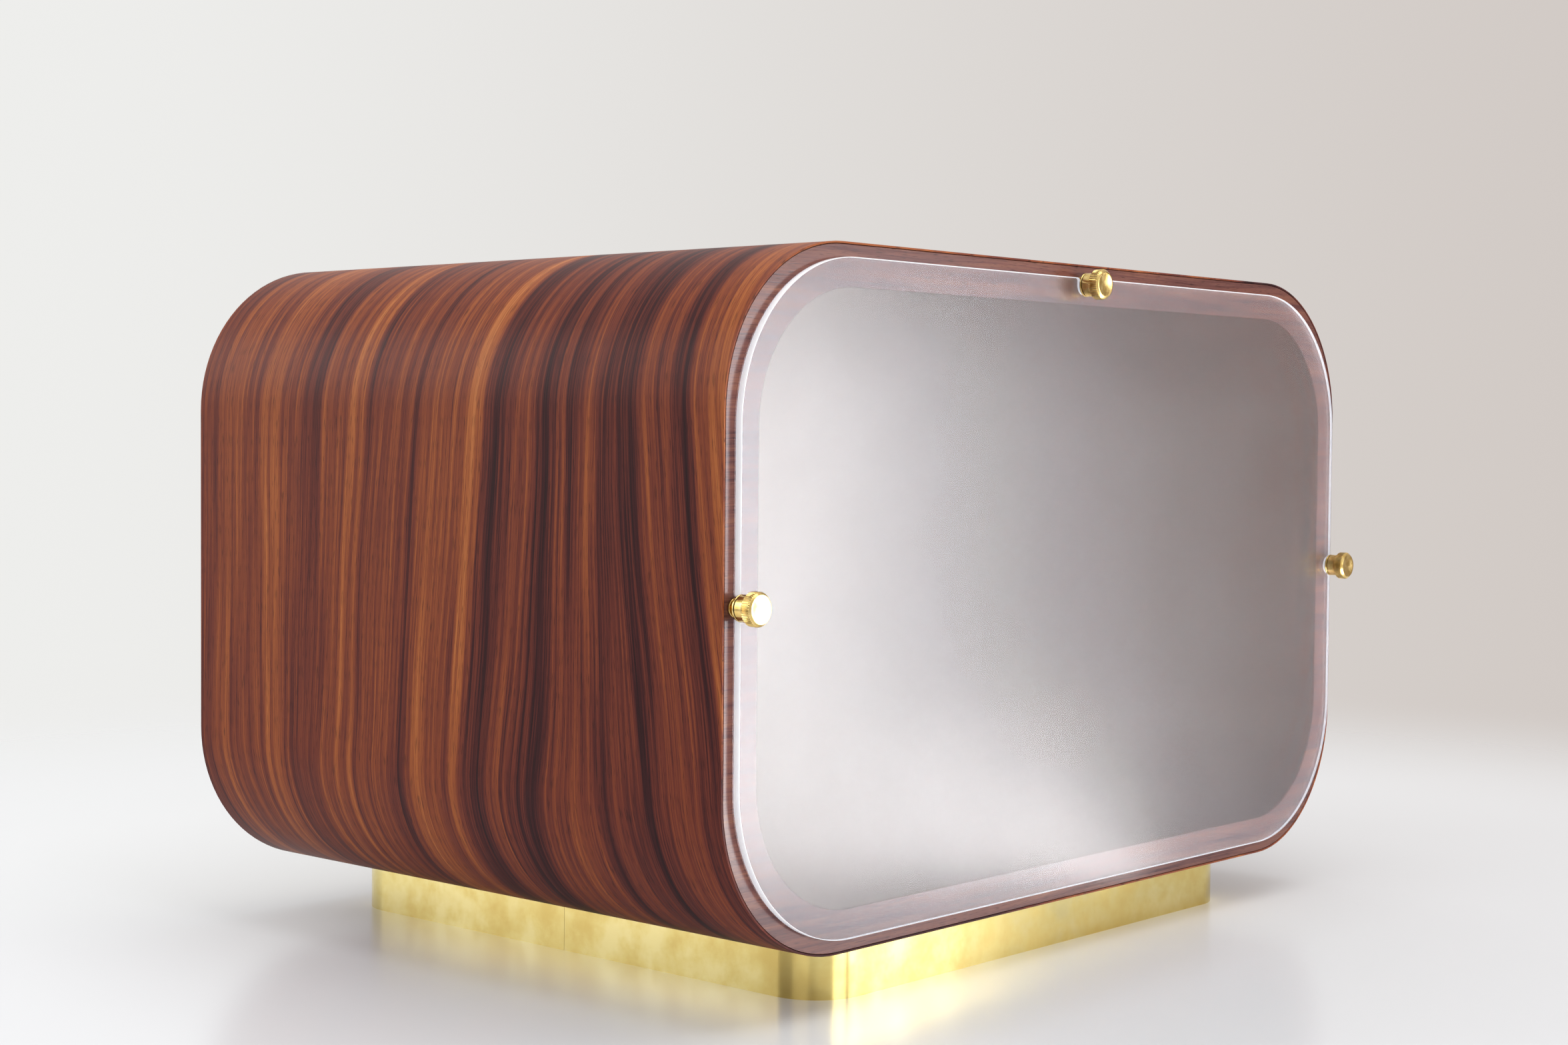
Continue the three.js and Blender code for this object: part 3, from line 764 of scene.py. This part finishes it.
# The slab gathers light through its faces and lets it out at its edge. A faint emission paints that glow.
EDGE_GLOW = 0.28


def frosted_acrylic():
    """Cast acrylic with a blasted face. The grit's grain, 0.3 mm, shows as a faint sparkle."""
    material, tree, shader = new_material("frosted_acrylic")
    place = node(tree, "ShaderNodeTexCoord")
    grit = node(tree, "ShaderNodeTexNoise", {
        "Vector": place.outputs["Object"], "Scale": 1 / (0.3 * MM), "Detail": 1.0,
    })
    hand = node(tree, "ShaderNodeTexNoise", {
        "Vector": place.outputs["Object"], "Scale": 1 / (60 * MM), "Detail": 3.0,
    })
    cloud = node(tree, "ShaderNodeMapRange", {
        "Value": hand.outputs["Fac"], "From Min": 0.3, "From Max": 0.7, "To Min": 0.25, "To Max": 0.27,
    })
    tint = ramp(
        node(tree, "ShaderNodeValToRGB", {"Fac": grit.outputs["Fac"]}),
        [(0.3, linear("#f4f4fa")), (0.7, linear("#fcfcff"))],
    )
    fill(tree, shader, {
        "Base Color": tint.outputs["Color"], "Roughness": cloud.outputs[0],
        "IOR": ACRYLIC_IOR, "Transmission Weight": 1.0,
    })
    return material


def polished_acrylic():
    """The sheet's edge: the same acrylic with a glossy, slightly wavy, flame-polished surface, and a painted
    glow.
    """
    material, tree, shader = new_material("polished_acrylic_edge")
    place = node(tree, "ShaderNodeTexCoord")
    wave = node(tree, "ShaderNodeTexNoise", {
        "Vector": place.outputs["Object"], "Scale": 1 / (6 * MM), "Detail": 2.0,
    })
    tint = ramp(
        node(tree, "ShaderNodeValToRGB", {"Fac": wave.outputs["Fac"]}),
        [(0.3, linear("#f2f4fa")), (0.7, linear("#ffffff"))],
    )
    gloss = node(tree, "ShaderNodeMapRange", {
        "Value": wave.outputs["Fac"], "To Min": 0.04, "To Max": 0.12,
    })
    bump = node(tree, "ShaderNodeBump", {
        "Height": wave.outputs["Fac"], "Strength": 0.2, "Distance": 0.1 * MM,
    })
    fill(tree, shader, {
        "Base Color": tint.outputs["Color"], "Roughness": gloss.outputs[0], "Normal": bump.outputs["Normal"],
        "IOR": ACRYLIC_IOR, "Transmission Weight": 0.1,
        "Emission Color": linear("#f4f6ff"), "Emission Strength": EDGE_GLOW,
    })
    return material


# %% Draw the sheet's outline, with a notch for each thumb screw
sheet_low, sheet_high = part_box("front_sheet")
SHEET_RADIUS = 70.5 * MM
NOTCH = 4.3 * MM
SHOULDER = 1.6 * MM
SHEET_BEVEL = 0.25 * MM


def notch(edge, along, depth):
    """Points of a round-ended notch whose end is centred that deep behind a straight edge."""
    inward = (-along[1], along[0])
    rise = max(SHOULDER - depth, 0)
    turn = math.asin(rise / (NOTCH + SHOULDER))
    reach = (NOTCH + SHOULDER) * math.cos(turn)
    spots = []
    for i in range(13):
        angle = (math.pi / 2 - turn) * i / 12
        spots.append((-reach + SHOULDER * math.sin(angle), SHOULDER * (1 - math.cos(angle))))
    for i in range(33):
        angle = turn + (math.pi - 2 * turn) * i / 32
        spots.append((-NOTCH * math.cos(angle), depth + NOTCH * math.sin(angle)))
    for i in range(12, -1, -1):
        angle = (math.pi / 2 - turn) * i / 12
        spots.append((reach - SHOULDER * math.sin(angle), SHOULDER * (1 - math.cos(angle))))
    return [
        (edge[0] + along[0] * a + inward[0] * b, edge[1] + along[1] * a + inward[1] * b)
        for a, b in spots
    ]


half_sheet = (sheet_high.x, (sheet_high.z - sheet_low.z) / 2)
corners = rounded_loop(*half_sheet, SHEET_RADIUS, steps=32)[1:]
quarter = len(corners) // 4
notches = {
    "right": notch((half_sheet[0], 0), (0, 1), sheet_high.x - screw_places["right"].x),
    "top": notch((0, half_sheet[1]), (-1, 0), sheet_high.z - screw_places["top"].z),
    "left": notch((-half_sheet[0], 0), (0, -1), screw_places["left"].x - sheet_low.x),
}
outline = [*corners[:quarter], *notches["right"], *corners[quarter:2 * quarter], *notches["top"]]
outline += [*corners[2 * quarter:3 * quarter], *notches["left"], *corners[3 * quarter:]]
print("points in the sheet's outline:", len(outline))

# %% Cut the sheet from it
def front_sheet():
    """The slab, with a small bevel all round both faces."""
    cage = bmesh.new()
    ring = [cage.verts.new((x, sheet_low.y, MIDDLE.z + z)) for x, z in outline]
    bmesh.ops.remove_doubles(cage, verts=ring, dist=0.01 * MM)
    face = cage.faces.new(list(cage.verts))
    grown = bmesh.ops.extrude_face_region(cage, geom=[face], use_keep_orig=True)
    moved = [part for part in grown["geom"] if isinstance(part, bmesh.types.BMVert)]
    bmesh.ops.translate(cage, verts=moved, vec=(0, sheet_high.y - sheet_low.y, 0))
    bmesh.ops.recalc_face_normals(cage, faces=cage.faces)
    flat = [f for f in cage.faces if abs(f.normal.y) > 0.99]
    rims = {edge for f in flat for edge in f.edges}
    bmesh.ops.bevel(
        cage, geom=list(rims), offset=SHEET_BEVEL, segments=2, profile=0.5, affect="EDGES",
        clamp_overlap=True,
    )
    for f in cage.faces:
        f.material_index = 0 if abs(f.normal.y) > 0.999 else 1
    mesh = mesh_from(cage, "frosted_sheet")
    mesh.materials.append(frosted_acrylic())
    mesh.materials.append(polished_acrylic())
    return link_object("frosted_sheet", mesh)


sheet = shade(front_sheet(), 25)
for polygon in sheet.data.polygons:
    polygon.use_smooth = polygon.material_index == 1
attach(sheet, "front_sheet")
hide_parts("front_sheet")
print("faces in the sheet:", len(sheet.data.polygons))

# %% [markdown]
# ## Brass
# Two kinds of brass are on the object. The thumb screws, washers and bushes are turned from
# bar: bright, with fine rings that the tool left round the axis. The plinth's band is rolled
# sheet that has been polished by hand, touched and cleaned, so its surface waves a little and
# is clouded with patches where the shine is duller and the colour deeper.

# %% Turned brass
def turned_brass():
    """Bright turned brass. The tool's rings are 0.2 mm apart, coarser than real ones, to show."""
    material, tree, shader = new_material("turned_brass")
    lathe = node(tree, "ShaderNodeUVMap", uv_map="surface")
    split = node(tree, "ShaderNodeSeparateXYZ", {0: lathe.outputs["UV"]})
    feed = node(tree, "ShaderNodeMath", {0: split.outputs["X"], 1: 1 / (0.2 * MM)}, operation="MULTIPLY")
    spin = node(tree, "ShaderNodeMath", {0: split.outputs["Y"], 1: 2.0}, operation="MULTIPLY")
    spot = node(tree, "ShaderNodeCombineXYZ", {"X": feed.outputs[0], "Y": spin.outputs[0]})
    rings = node(tree, "ShaderNodeTexNoise", {"Vector": spot.outputs[0], "Scale": 1.0, "Detail": 2.0})
    place = node(tree, "ShaderNodeTexCoord")
    touch = node(tree, "ShaderNodeTexNoise", {
        "Vector": place.outputs["Object"], "Scale": 1 / (3 * MM), "Detail": 3.0,
    })
    colour = ramp(
        node(tree, "ShaderNodeValToRGB", {"Fac": touch.outputs["Fac"]}),
        [(0.3, linear("#d6b468")), (0.5, linear("#e2c27a")), (0.75, linear("#ebd090"))],
    )
    gloss = node(tree, "ShaderNodeMapRange", {
        "Value": touch.outputs["Fac"], "From Min": 0.3, "From Max": 0.7, "To Min": 0.16, "To Max": 0.26,
    })
    bump = node(tree, "ShaderNodeBump", {
        "Height": rings.outputs["Fac"], "Strength": 0.5, "Distance": 0.02 * MM,
    })
    fill(tree, shader, {
        "Base Color": colour.outputs["Color"], "Metallic": 1.0, "Roughness": gloss.outputs[0],
        "Normal": bump.outputs["Normal"],
    })
    return material


bright_brass = turned_brass()

# %% Sheet brass
def sheet_brass():
    """Polished sheet: clouds 12 mm and 40 mm across, on waves some 60 mm long."""
    material, tree, shader = new_material("polished_sheet_brass")
    place = node(tree, "ShaderNodeTexCoord")
    broad = node(tree, "ShaderNodeTexNoise", {
        "Vector": place.outputs["Object"], "Scale": 1 / (40 * MM), "Detail": 2.0, "Distortion": 0.6,
    })
    small = node(tree, "ShaderNodeTexNoise", {
        "Vector": place.outputs["Object"], "Scale": 1 / (12 * MM), "Detail": 5.0, "Roughness": 0.62,
    })
    both = node(tree, "ShaderNodeMath", {
        0: broad.outputs["Fac"], 1: small.outputs["Fac"],
    }, operation="MULTIPLY")
    colour = ramp(
        node(tree, "ShaderNodeValToRGB", {"Fac": both.outputs[0]}),
        [(0.14, linear("#dcc274")), (0.24, linear("#e4cf84")), (0.36, linear("#ecdc9a"))],
    )
    gloss = node(tree, "ShaderNodeMapRange", {
        "Value": both.outputs[0], "From Min": 0.12, "From Max": 0.4, "To Min": 0.22, "To Max": 0.15,
    })
    # Rolling left fine lines along the sheet, drawn 0.6 mm apart.
    split = node(tree, "ShaderNodeSeparateXYZ", {0: place.outputs["Object"]})
    level = node(tree, "ShaderNodeMath", {0: split.outputs["Z"], 1: 1 / (0.6 * MM)}, operation="MULTIPLY")
    lines = node(tree, "ShaderNodeTexNoise", {"W": level.outputs[0], "Scale": 1.0}, noise_dimensions="1D")
    fine = node(tree, "ShaderNodeBump", {
        "Height": lines.outputs["Fac"], "Strength": 0.1, "Distance": 0.02 * MM,
    })
    wave = node(tree, "ShaderNodeTexNoise", {
        "Vector": place.outputs["Object"], "Scale": 1 / (60 * MM), "Detail": 1.0,
    })
    bump = node(tree, "ShaderNodeBump", {
        "Height": wave.outputs["Fac"], "Strength": 0.3, "Distance": 1.0 * MM,
        "Normal": fine.outputs["Normal"],
    })
    fill(tree, shader, {
        "Base Color": colour.outputs["Color"], "Metallic": 1.0, "Roughness": gloss.outputs[0],
        "Normal": bump.outputs["Normal"],
    })
    return material


# %% Bend the band round the plinth, from its seam in the middle of the left side
band_low, band_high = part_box("brass_band")
BAND = 1 * MM
BAND_RADIUS = 25 * MM
SEAM = 0.15 * MM
band_middle = (band_low + band_high) / 2
band_loop = rounded_loop(
    (band_high.y - band_low.y) / 2 - BAND, (band_high.x - band_low.x) / 2 - BAND, BAND_RADIUS - BAND
)
band_ends = ((SEAM / 2, band_loop[0][1]), (-SEAM / 2, band_loop[0][1]))
band_points = [band_ends[0], *band_loop[1:], band_ends[1]]
band = bent_sheet(
    "plinth_band", [(b, band_middle.y - a, band_high.z) for a, b in band_points], (0, 0, -1),
    band_high.z - band_low.z, BAND, sheet_brass(),
)
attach(band, "cabinet")
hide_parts("brass_band")

# %% [markdown]
# ## Thumb screws
# Each screw was turned from one bar: a dished face, a knurled grip, a plain collar and the
# thread. The straight knurl is 44 ridges, pressed in by a wheel. One lathe section makes the
# body, and a geometry tree stands the ridges round it, because a ridge is a shape that repeats.

# %% The tree that repeats a rib round an axis
rib_tree, rib_in, rib_out = new_tree("ribs_round_an_axis", {
    "Rib": "NodeSocketObject",
    "Count": "NodeSocketInt",
    "Centre": "NodeSocketVector",
    "Material": "NodeSocketMaterial",
})
starts = node(rib_tree, "GeometryNodeMeshLine", {"Count": rib_in.outputs["Count"], "Offset": (0, 0, 0)})
rib_shape = node(rib_tree, "GeometryNodeObjectInfo", {"Object": rib_in.outputs["Rib"]})
ribs = node(rib_tree, "GeometryNodeInstanceOnPoints", {
    "Points": starts.outputs["Mesh"], "Instance": rib_shape.outputs["Geometry"],
})
index = node(rib_tree, "GeometryNodeInputIndex")
step = node(rib_tree, "ShaderNodeMath", {0: 2 * math.pi, 1: rib_in.outputs["Count"]}, operation="DIVIDE")
angle = node(rib_tree, "ShaderNodeMath", {0: index.outputs[0], 1: step.outputs[0]}, operation="MULTIPLY")
turn = node(rib_tree, "ShaderNodeCombineXYZ", {"Y": angle.outputs[0]})
spun = node(rib_tree, "GeometryNodeRotateInstances", {
    "Instances": ribs.outputs["Instances"], "Rotation": turn.outputs[0],
})
whole = node(rib_tree, "GeometryNodeJoinGeometry")
rib_tree.links.new(spun.outputs["Instances"], whole.inputs["Geometry"])
rib_tree.links.new(rib_in.outputs["Geometry"], whole.inputs["Geometry"])
placed = node(rib_tree, "GeometryNodeTransform", {
    "Geometry": whole.outputs["Geometry"], "Translation": rib_in.outputs["Centre"],
})
close_tree(rib_tree, placed.outputs["Geometry"], rib_in.outputs["Material"], rib_out)

# %% The screw's section, and one ridge of its knurl
RIDGES = 44
HEAD = 7.1 * MM
ROOT = HEAD - 0.35 * MM
COLLAR = 5.6 * MM
SHANK = 1.65 * MM
FACE_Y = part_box("thumb_screw_left")[0].y
TIP_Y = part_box("thumb_screw_left")[1].y
KNURL_FRONT = FACE_Y + 0.8 * MM
KNURL_BACK = KNURL_FRONT + 4.4 * MM
COLLAR_BACK = KNURL_BACK + 4.8 * MM


def thread(start, end, pitch=0.7 * MM, root=1.35 * MM):
    """The thread's crests and roots, drawn as rings."""
    points = []
    y = start
    while y < end - pitch:
        points += [(SHANK, y), (SHANK, y + 0.2 * pitch), (root, y + 0.6 * pitch)]
        y += pitch
    return [*points, (SHANK, y), (root, end), (0, end)]


screw_section = [
    (0, FACE_Y + 0.4 * MM), (2.2 * MM, FACE_Y + 0.33 * MM), (4.2 * MM, FACE_Y + 0.14 * MM),
    (5.2 * MM, FACE_Y + 0.02 * MM), (5.6 * MM, FACE_Y), (5.95 * MM, FACE_Y + 0.05 * MM),
    (6.55 * MM, FACE_Y + 0.62 * MM), (ROOT, KNURL_FRONT + 0.05 * MM),
    (ROOT, KNURL_BACK - 0.25 * MM), (ROOT - 0.25 * MM, KNURL_BACK),
    (5.15 * MM, KNURL_BACK + 0.05 * MM), (5.1 * MM, KNURL_BACK + 0.45 * MM),
    (5.35 * MM, KNURL_BACK + 0.6 * MM), (COLLAR, KNURL_BACK + 0.8 * MM),
    (COLLAR, COLLAR_BACK - 0.4 * MM), (COLLAR - 0.3 * MM, COLLAR_BACK), (SHANK, COLLAR_BACK),
    *thread(COLLAR_BACK + 0.3 * MM, TIP_Y),
]


def ridge():
    """One ridge: a roof along Y at the head's right side, with both ends sloped down."""
    half = math.pi * ROOT / RIDGES
    sunk = ROOT - 0.15 * MM
    slope = 0.45 * MM
    front, back = KNURL_FRONT, KNURL_BACK - 0.1 * MM
    crest = 0.25 * half
    corners = []
    for y, high in ((front, ROOT), (front + slope, HEAD), (back - slope, HEAD), (back, ROOT)):
        corners += [(sunk, y, -half), (high, y, -crest), (high, y, crest), (sunk, y, half)]
    faces = [(0, 1, 2, 3), (15, 14, 13, 12)]
    for row in range(3):
        for k in range(4):
            a, b = 4 * row + k, 4 * row + (k + 1) % 4
            faces.append((a, a + 4, b + 4, b))
    mesh = bpy.data.meshes.new("ridge")
    mesh.from_pydata(corners, [], faces)
    cage = bmesh.new()
    cage.from_mesh(mesh)
    bmesh.ops.recalc_face_normals(cage, faces=cage.faces)
    cage.to_mesh(mesh)
    cage.free()
    return link_object("ridge", mesh)


# %% Turn the screws, and the washers and bushes they bear on
one_ridge = ridge()
washer_front, washer_back = (corner.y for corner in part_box("washer_left"))
bush_front, bush_back = (corner.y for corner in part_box("threaded_bush_left"))
BORE = 2 * MM
FLANGE = 3.9 * MM
BARREL = 3.2 * MM
FLANGE_BACK = bush_front + 0.8 * MM
washer_section = (
    (BORE, washer_front), (COLLAR - 0.15 * MM, washer_front), (COLLAR, washer_front + 0.2 * MM),
    (COLLAR, washer_back - 0.2 * MM), (COLLAR - 0.15 * MM, washer_back), (BORE, washer_back),
    (BORE, washer_front),
)
bush_section = (
    (BORE, bush_front), (FLANGE - 0.15 * MM, bush_front), (FLANGE, bush_front + 0.15 * MM),
    (FLANGE, FLANGE_BACK), (BARREL, FLANGE_BACK), (BARREL, bush_back), (BORE, bush_back),
    (BORE, bush_front),
)


def keep(piece, body, cad_name):
    """Lets a finished piece ride on a body in place of its CAD node."""
    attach(piece, body)
    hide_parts(cad_name)


for side, place in screw_places.items():
    centre = (place.x, 0, place.z)
    screw = grow(side + "_knurled_screw", swept("screw", screw_section, circle(88)), rib_tree, {
        "Rib": one_ridge, "Count": RIDGES, "Centre": centre, "Material": bright_brass,
    })
    keep(shade(screw, 30), side + "_thumb_screw", "thumb_screw_" + side)
    rings = ((side + "_turned_washer", washer_section), (side + "_turned_bush", bush_section))
    for name, section in rings:
        ring = link_object(name, swept(name, section, circle(64), centre))
        ring.data.materials.append(bright_brass)
        if name.endswith("washer"):
            keep(shade(ring, 30), side + "_washer", "washer_" + side)
        else:
            keep(shade(ring, 30), "cabinet", "threaded_bush_" + side)
bpy.data.objects.remove(one_ridge)

# %% [markdown]
# ## Wood screws
# Slotted countersunk screws hold the rear board, and longer ones hold the plinth. They are
# all alike and only their places differ, so one tree sets a screw at each point and turns its
# slot at random, as a screwdriver leaves it.

# %% The tree that sets screws at points
place_tree, place_in, place_out = new_tree("screws_at_points", {
    "Screw": "NodeSocketObject",
    "Facing": "NodeSocketVector",
    "Seed": "NodeSocketInt",
    "Material": "NodeSocketMaterial",
})
one_screw = node(place_tree, "GeometryNodeObjectInfo", {"Object": place_in.outputs["Screw"]})
cloud = node(place_tree, "GeometryNodeMeshToPoints", {"Mesh": place_in.outputs["Geometry"]})
set_screws = node(place_tree, "GeometryNodeInstanceOnPoints", {
    "Points": cloud.outputs["Points"], "Instance": one_screw.outputs["Geometry"],
    "Rotation": place_in.outputs["Facing"],
})
chance = node(place_tree, "FunctionNodeRandomValue", {
    "Max": math.pi, "Seed": place_in.outputs["Seed"],
}, data_type="FLOAT")
slot_turn = node(place_tree, "ShaderNodeCombineXYZ", {"Y": chance.outputs["Value"]})
driven = node(place_tree, "GeometryNodeRotateInstances", {
    "Instances": set_screws.outputs["Instances"], "Rotation": slot_turn.outputs[0],
})
close_tree(place_tree, driven.outputs["Instances"], place_in.outputs["Material"], place_out)

# %% One slotted screw, with its head's face at the origin
def slotted_screw(head, shank, length, slot):
    """A countersunk screw along Y that points to -Y, with a slot across its head."""
    rim_height = 0.3 * MM
    section = (
        (0, 0), (head - 0.2 * MM, 0), (head, -0.15 * MM), (head, -rim_height),
        (shank, -rim_height - (head - shank)), (shank, 4 * MM - length), (0, -length),
    )
    made = link_object("slotted_screw", swept("slotted_screw", section, circle(32)))
    cage = bmesh.new()
    bmesh.ops.create_cube(cage, size=1, matrix=Matrix.Diagonal((3 * head, 2 * slot, slot, 1)))
    tool = link_object("slot_tool", mesh_from(cage, "slot_tool"))
    take_away(made, tool)
    depsgraph = bpy.context.evaluated_depsgraph_get()
    mesh = bpy.data.meshes.new_from_object(made.evaluated_get(depsgraph))
    made.modifiers.clear()
    made.data = mesh
    bpy.data.objects.remove(tool)
    return made


# %% Zinc-plated steel
def zinc_plate():
    """Bright zinc on steel: grey-blue, with a faint crystalline mottle under 1 mm across."""
    material, tree, shader = new_material("zinc_plated_steel")
    place = node(tree, "ShaderNodeTexCoord")
    mottle = node(tree, "ShaderNodeTexNoise", {
        "Vector": place.outputs["Object"], "Scale": 1 / (0.8 * MM), "Detail": 3.0,
    })
    colour = ramp(
        node(tree, "ShaderNodeValToRGB", {"Fac": mottle.outputs["Fac"]}),
        [(0.3, linear("#a9acae")), (0.7, linear("#c6c8c9"))],
    )
    gloss = node(tree, "ShaderNodeMapRange", {
        "Value": mottle.outputs["Fac"], "To Min": 0.28, "To Max": 0.45,
    })
    fill(tree, shader, {
        "Base Color": colour.outputs["Color"], "Metallic": 1.0, "Roughness": gloss.outputs[0],
    })
    return material


# %% Drive the two sets of screws
screw_sets = (
    {
        "name": "rear_board_screws", "nodes": "rear_screw", "facing": (0, 0, 0), "seed": 4,
        "size": (2.9 * MM, 1.5 * MM, 26 * MM, 0.8 * MM), "material": bright_brass, "slot": "turned_brass",
    },
    {
        "name": "plinth_rail_screws", "nodes": "plinth_screw", "facing": (-math.pi / 2, 0, 0), "seed": 9,
        "size": (4 * MM, 2 * MM, 28 * MM, 1 * MM), "material": zinc_plate(), "slot": "zinc_plated_steel",
    },
)
for batch in screw_sets:
    names = sorted(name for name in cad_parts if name.startswith(batch["nodes"]))
    points = []
    for name in names:
        low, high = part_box(name)
        spot = (low + high) / 2
        if batch["facing"][0]:
            spot.z = low.z
        else:
            spot.y = high.y
        points.append(tuple(spot))
    pattern = slotted_screw(*batch["size"])
    mesh = bpy.data.meshes.new(batch["name"])
    mesh.from_pydata(points, [], [])
    screws = grow(batch["name"], mesh, place_tree, {
        "Screw": pattern, "Facing": batch["facing"], "Seed": batch["seed"], "Material": batch["material"],
    })
    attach(shade(screws, 30), "cabinet")
    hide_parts(*names)
    bpy.data.objects.remove(pattern)
    print(batch["name"], "at", len(points), "points")

# %% [markdown]
# ## Studio
# A plain pale floor that fades out into an even, off-white surround, so there is no hard
# horizon. A soft window in front lights the inside of the case through the sheet, one at the
# back left and one low at the left light the long side, and one overhead lights the top.
# A frosted sheet looks white where it mirrors something bright. One big window would do that,
# but it would also bleach the floor, so cards that only shiny faces can see do it instead. Two
# in front are for the sheet, and one at the back left is for the plinth's brass.

# %% The surround
world = bpy.data.worlds.new("studio")
bpy.context.scene.world = world
world.use_nodes = True
sky = world.node_tree
background = sky.nodes["Background"]
heading = node(sky, "ShaderNodeTexCoord")


def soft_side(towards, start, end):
    """0 to 1 as a direction turns towards a side."""
    facing = node(sky, "ShaderNodeVectorMath", {
        0: heading.outputs["Generated"], 1: towards,
    }, operation="DOT_PRODUCT")
    return node(sky, "ShaderNodeMapRange", {
        "Value": facing.outputs["Value"], "From Min": start, "From Max": end,
    }, interpolation_type="SMOOTHSTEP").outputs[0]


# The right, the left and the front right: a direction, where its shade starts and is full, and
# the shade. The front right is darker than the rest of the right, so that the far part of the
# sheet shows the lining's brown.
SHADED_SIDES = (
    ((0.92, -0.39, 0), 0.1, 0.8, "#cfc7c2"),
    ((-1, 0, 0), 0.5, 0.95, "#8c8a88"),
    ((0.79, -0.61, 0), 0.6, 0.97, "#a0958d"),
)
surround = linear("#eeeeec")
for towards, start, end, darker_shade in SHADED_SIDES:
    surround = node(sky, "ShaderNodeMix", {
        0: soft_side(towards, start, end), 6: surround, 7: linear(darker_shade),
    }, data_type="RGBA").outputs[2]
fill(sky, background, {"Color": surround})
print("shaded sides of the surround:", len(SHADED_SIDES))

# %% The floor, fading out at its rim
FLOOR_SOLID = 0.55
FLOOR_END = 1.15
floor_cage = bmesh.new()
bmesh.ops.create_circle(floor_cage, cap_ends=True, segments=128, radius=FLOOR_END)
floor = link_object("floor", mesh_from(floor_cage, "floor"))
floor_material, floor_tree, floor_shader = new_material("satin_white_floor")
fill(floor_tree, floor_shader, {"Base Color": linear("#eceef2"), "Roughness": 0.22})
floor_place = node(floor_tree, "ShaderNodeTexCoord")
floor_reach = node(floor_tree, "ShaderNodeVectorMath", {
    0: floor_place.outputs["Object"],
}, operation="LENGTH")
fade = node(floor_tree, "ShaderNodeMapRange", {
    "Value": floor_reach.outputs["Value"], "From Min": FLOOR_SOLID, "From Max": FLOOR_END,
}, interpolation_type="SMOOTHSTEP")
clear = node(floor_tree, "ShaderNodeBsdfTransparent")
faded = node(floor_tree, "ShaderNodeMixShader", {
    0: fade.outputs[0], 1: floor_shader.outputs["BSDF"], 2: clear.outputs["BSDF"],
})
floor_tree.links.new(faded.outputs[0], floor_tree.nodes["Material Output"].inputs["Surface"])
floor.data.materials.append(floor_material)

# %% A soft light
def facing_case(heading_degrees, distance, height):
    """A place on a heading from the case, turned to face the case's middle."""
    angle = math.radians(heading_degrees)
    place = Vector((distance * math.cos(angle), distance * math.sin(angle), height))
    towards = Vector((0, 0, MIDDLE.z)) - place
    return Matrix.Translation(place) @ towards.to_track_quat("-Z", "Y").to_matrix().to_4x4()


def soft_light(name, width, height, radiance, colour, placed):
    """A soft rectangular light, sized in metres, that the camera doesn't see."""
    data = bpy.data.lights.new(name, "AREA")
    data.shape = "RECTANGLE"
    data.size = width
    data.size_y = height
    data.energy = radiance * math.pi * width * height
    data.color = colour
    made = bpy.data.objects.new(name, data)
    bpy.context.scene.collection.objects.link(made)
    made.matrix_world = placed
    made.visible_camera = False
    return made


# %% The windows
WHITE = (1.0, 1.0, 1.0)
soft_light("front_window", 1.0, 0.7, 8.5, (0.93, 0.97, 1.0), facing_case(270, 2.2, 0.5))
soft_light("side_window", 1.2, 1.0, 3.2, WHITE, facing_case(130, 2.2, 1.2))
soft_light("low_left_window", 1.2, 0.5, 1.5, WHITE, facing_case(195, 2.2, 0.25))
soft_light("overhead", 1.4, 1.4, 2.2, WHITE, facing_case(270, 0.4, 2.0))

# %% The cards, which only shiny faces see
# The last one lies on the floor and faces up: its image whitens the lower part of the sheet.
lying = Matrix.Rotation(math.radians(50), 4, "Z") @ Matrix.Rotation(math.pi, 4, "X")
cards = (
    soft_light("low_card", 0.6, 0.38, 8.0, (0.92, 0.95, 1.0), facing_case(300, 1.2, 0.19)),
    soft_light("back_card", 0.7, 0.7, 1.8, (1.0, 0.99, 0.97), facing_case(138, 2.2, 0.45)),
    soft_light(
        "floor_card", 0.36, 0.75, 8.4, (1.0, 0.99, 0.98),
        Matrix.Translation((0.34, -0.62, 0.003)) @ lying,
    ),
)
for card in cards:
    card.visible_diffuse = False
print("lights in the studio:", len(bpy.data.lights))
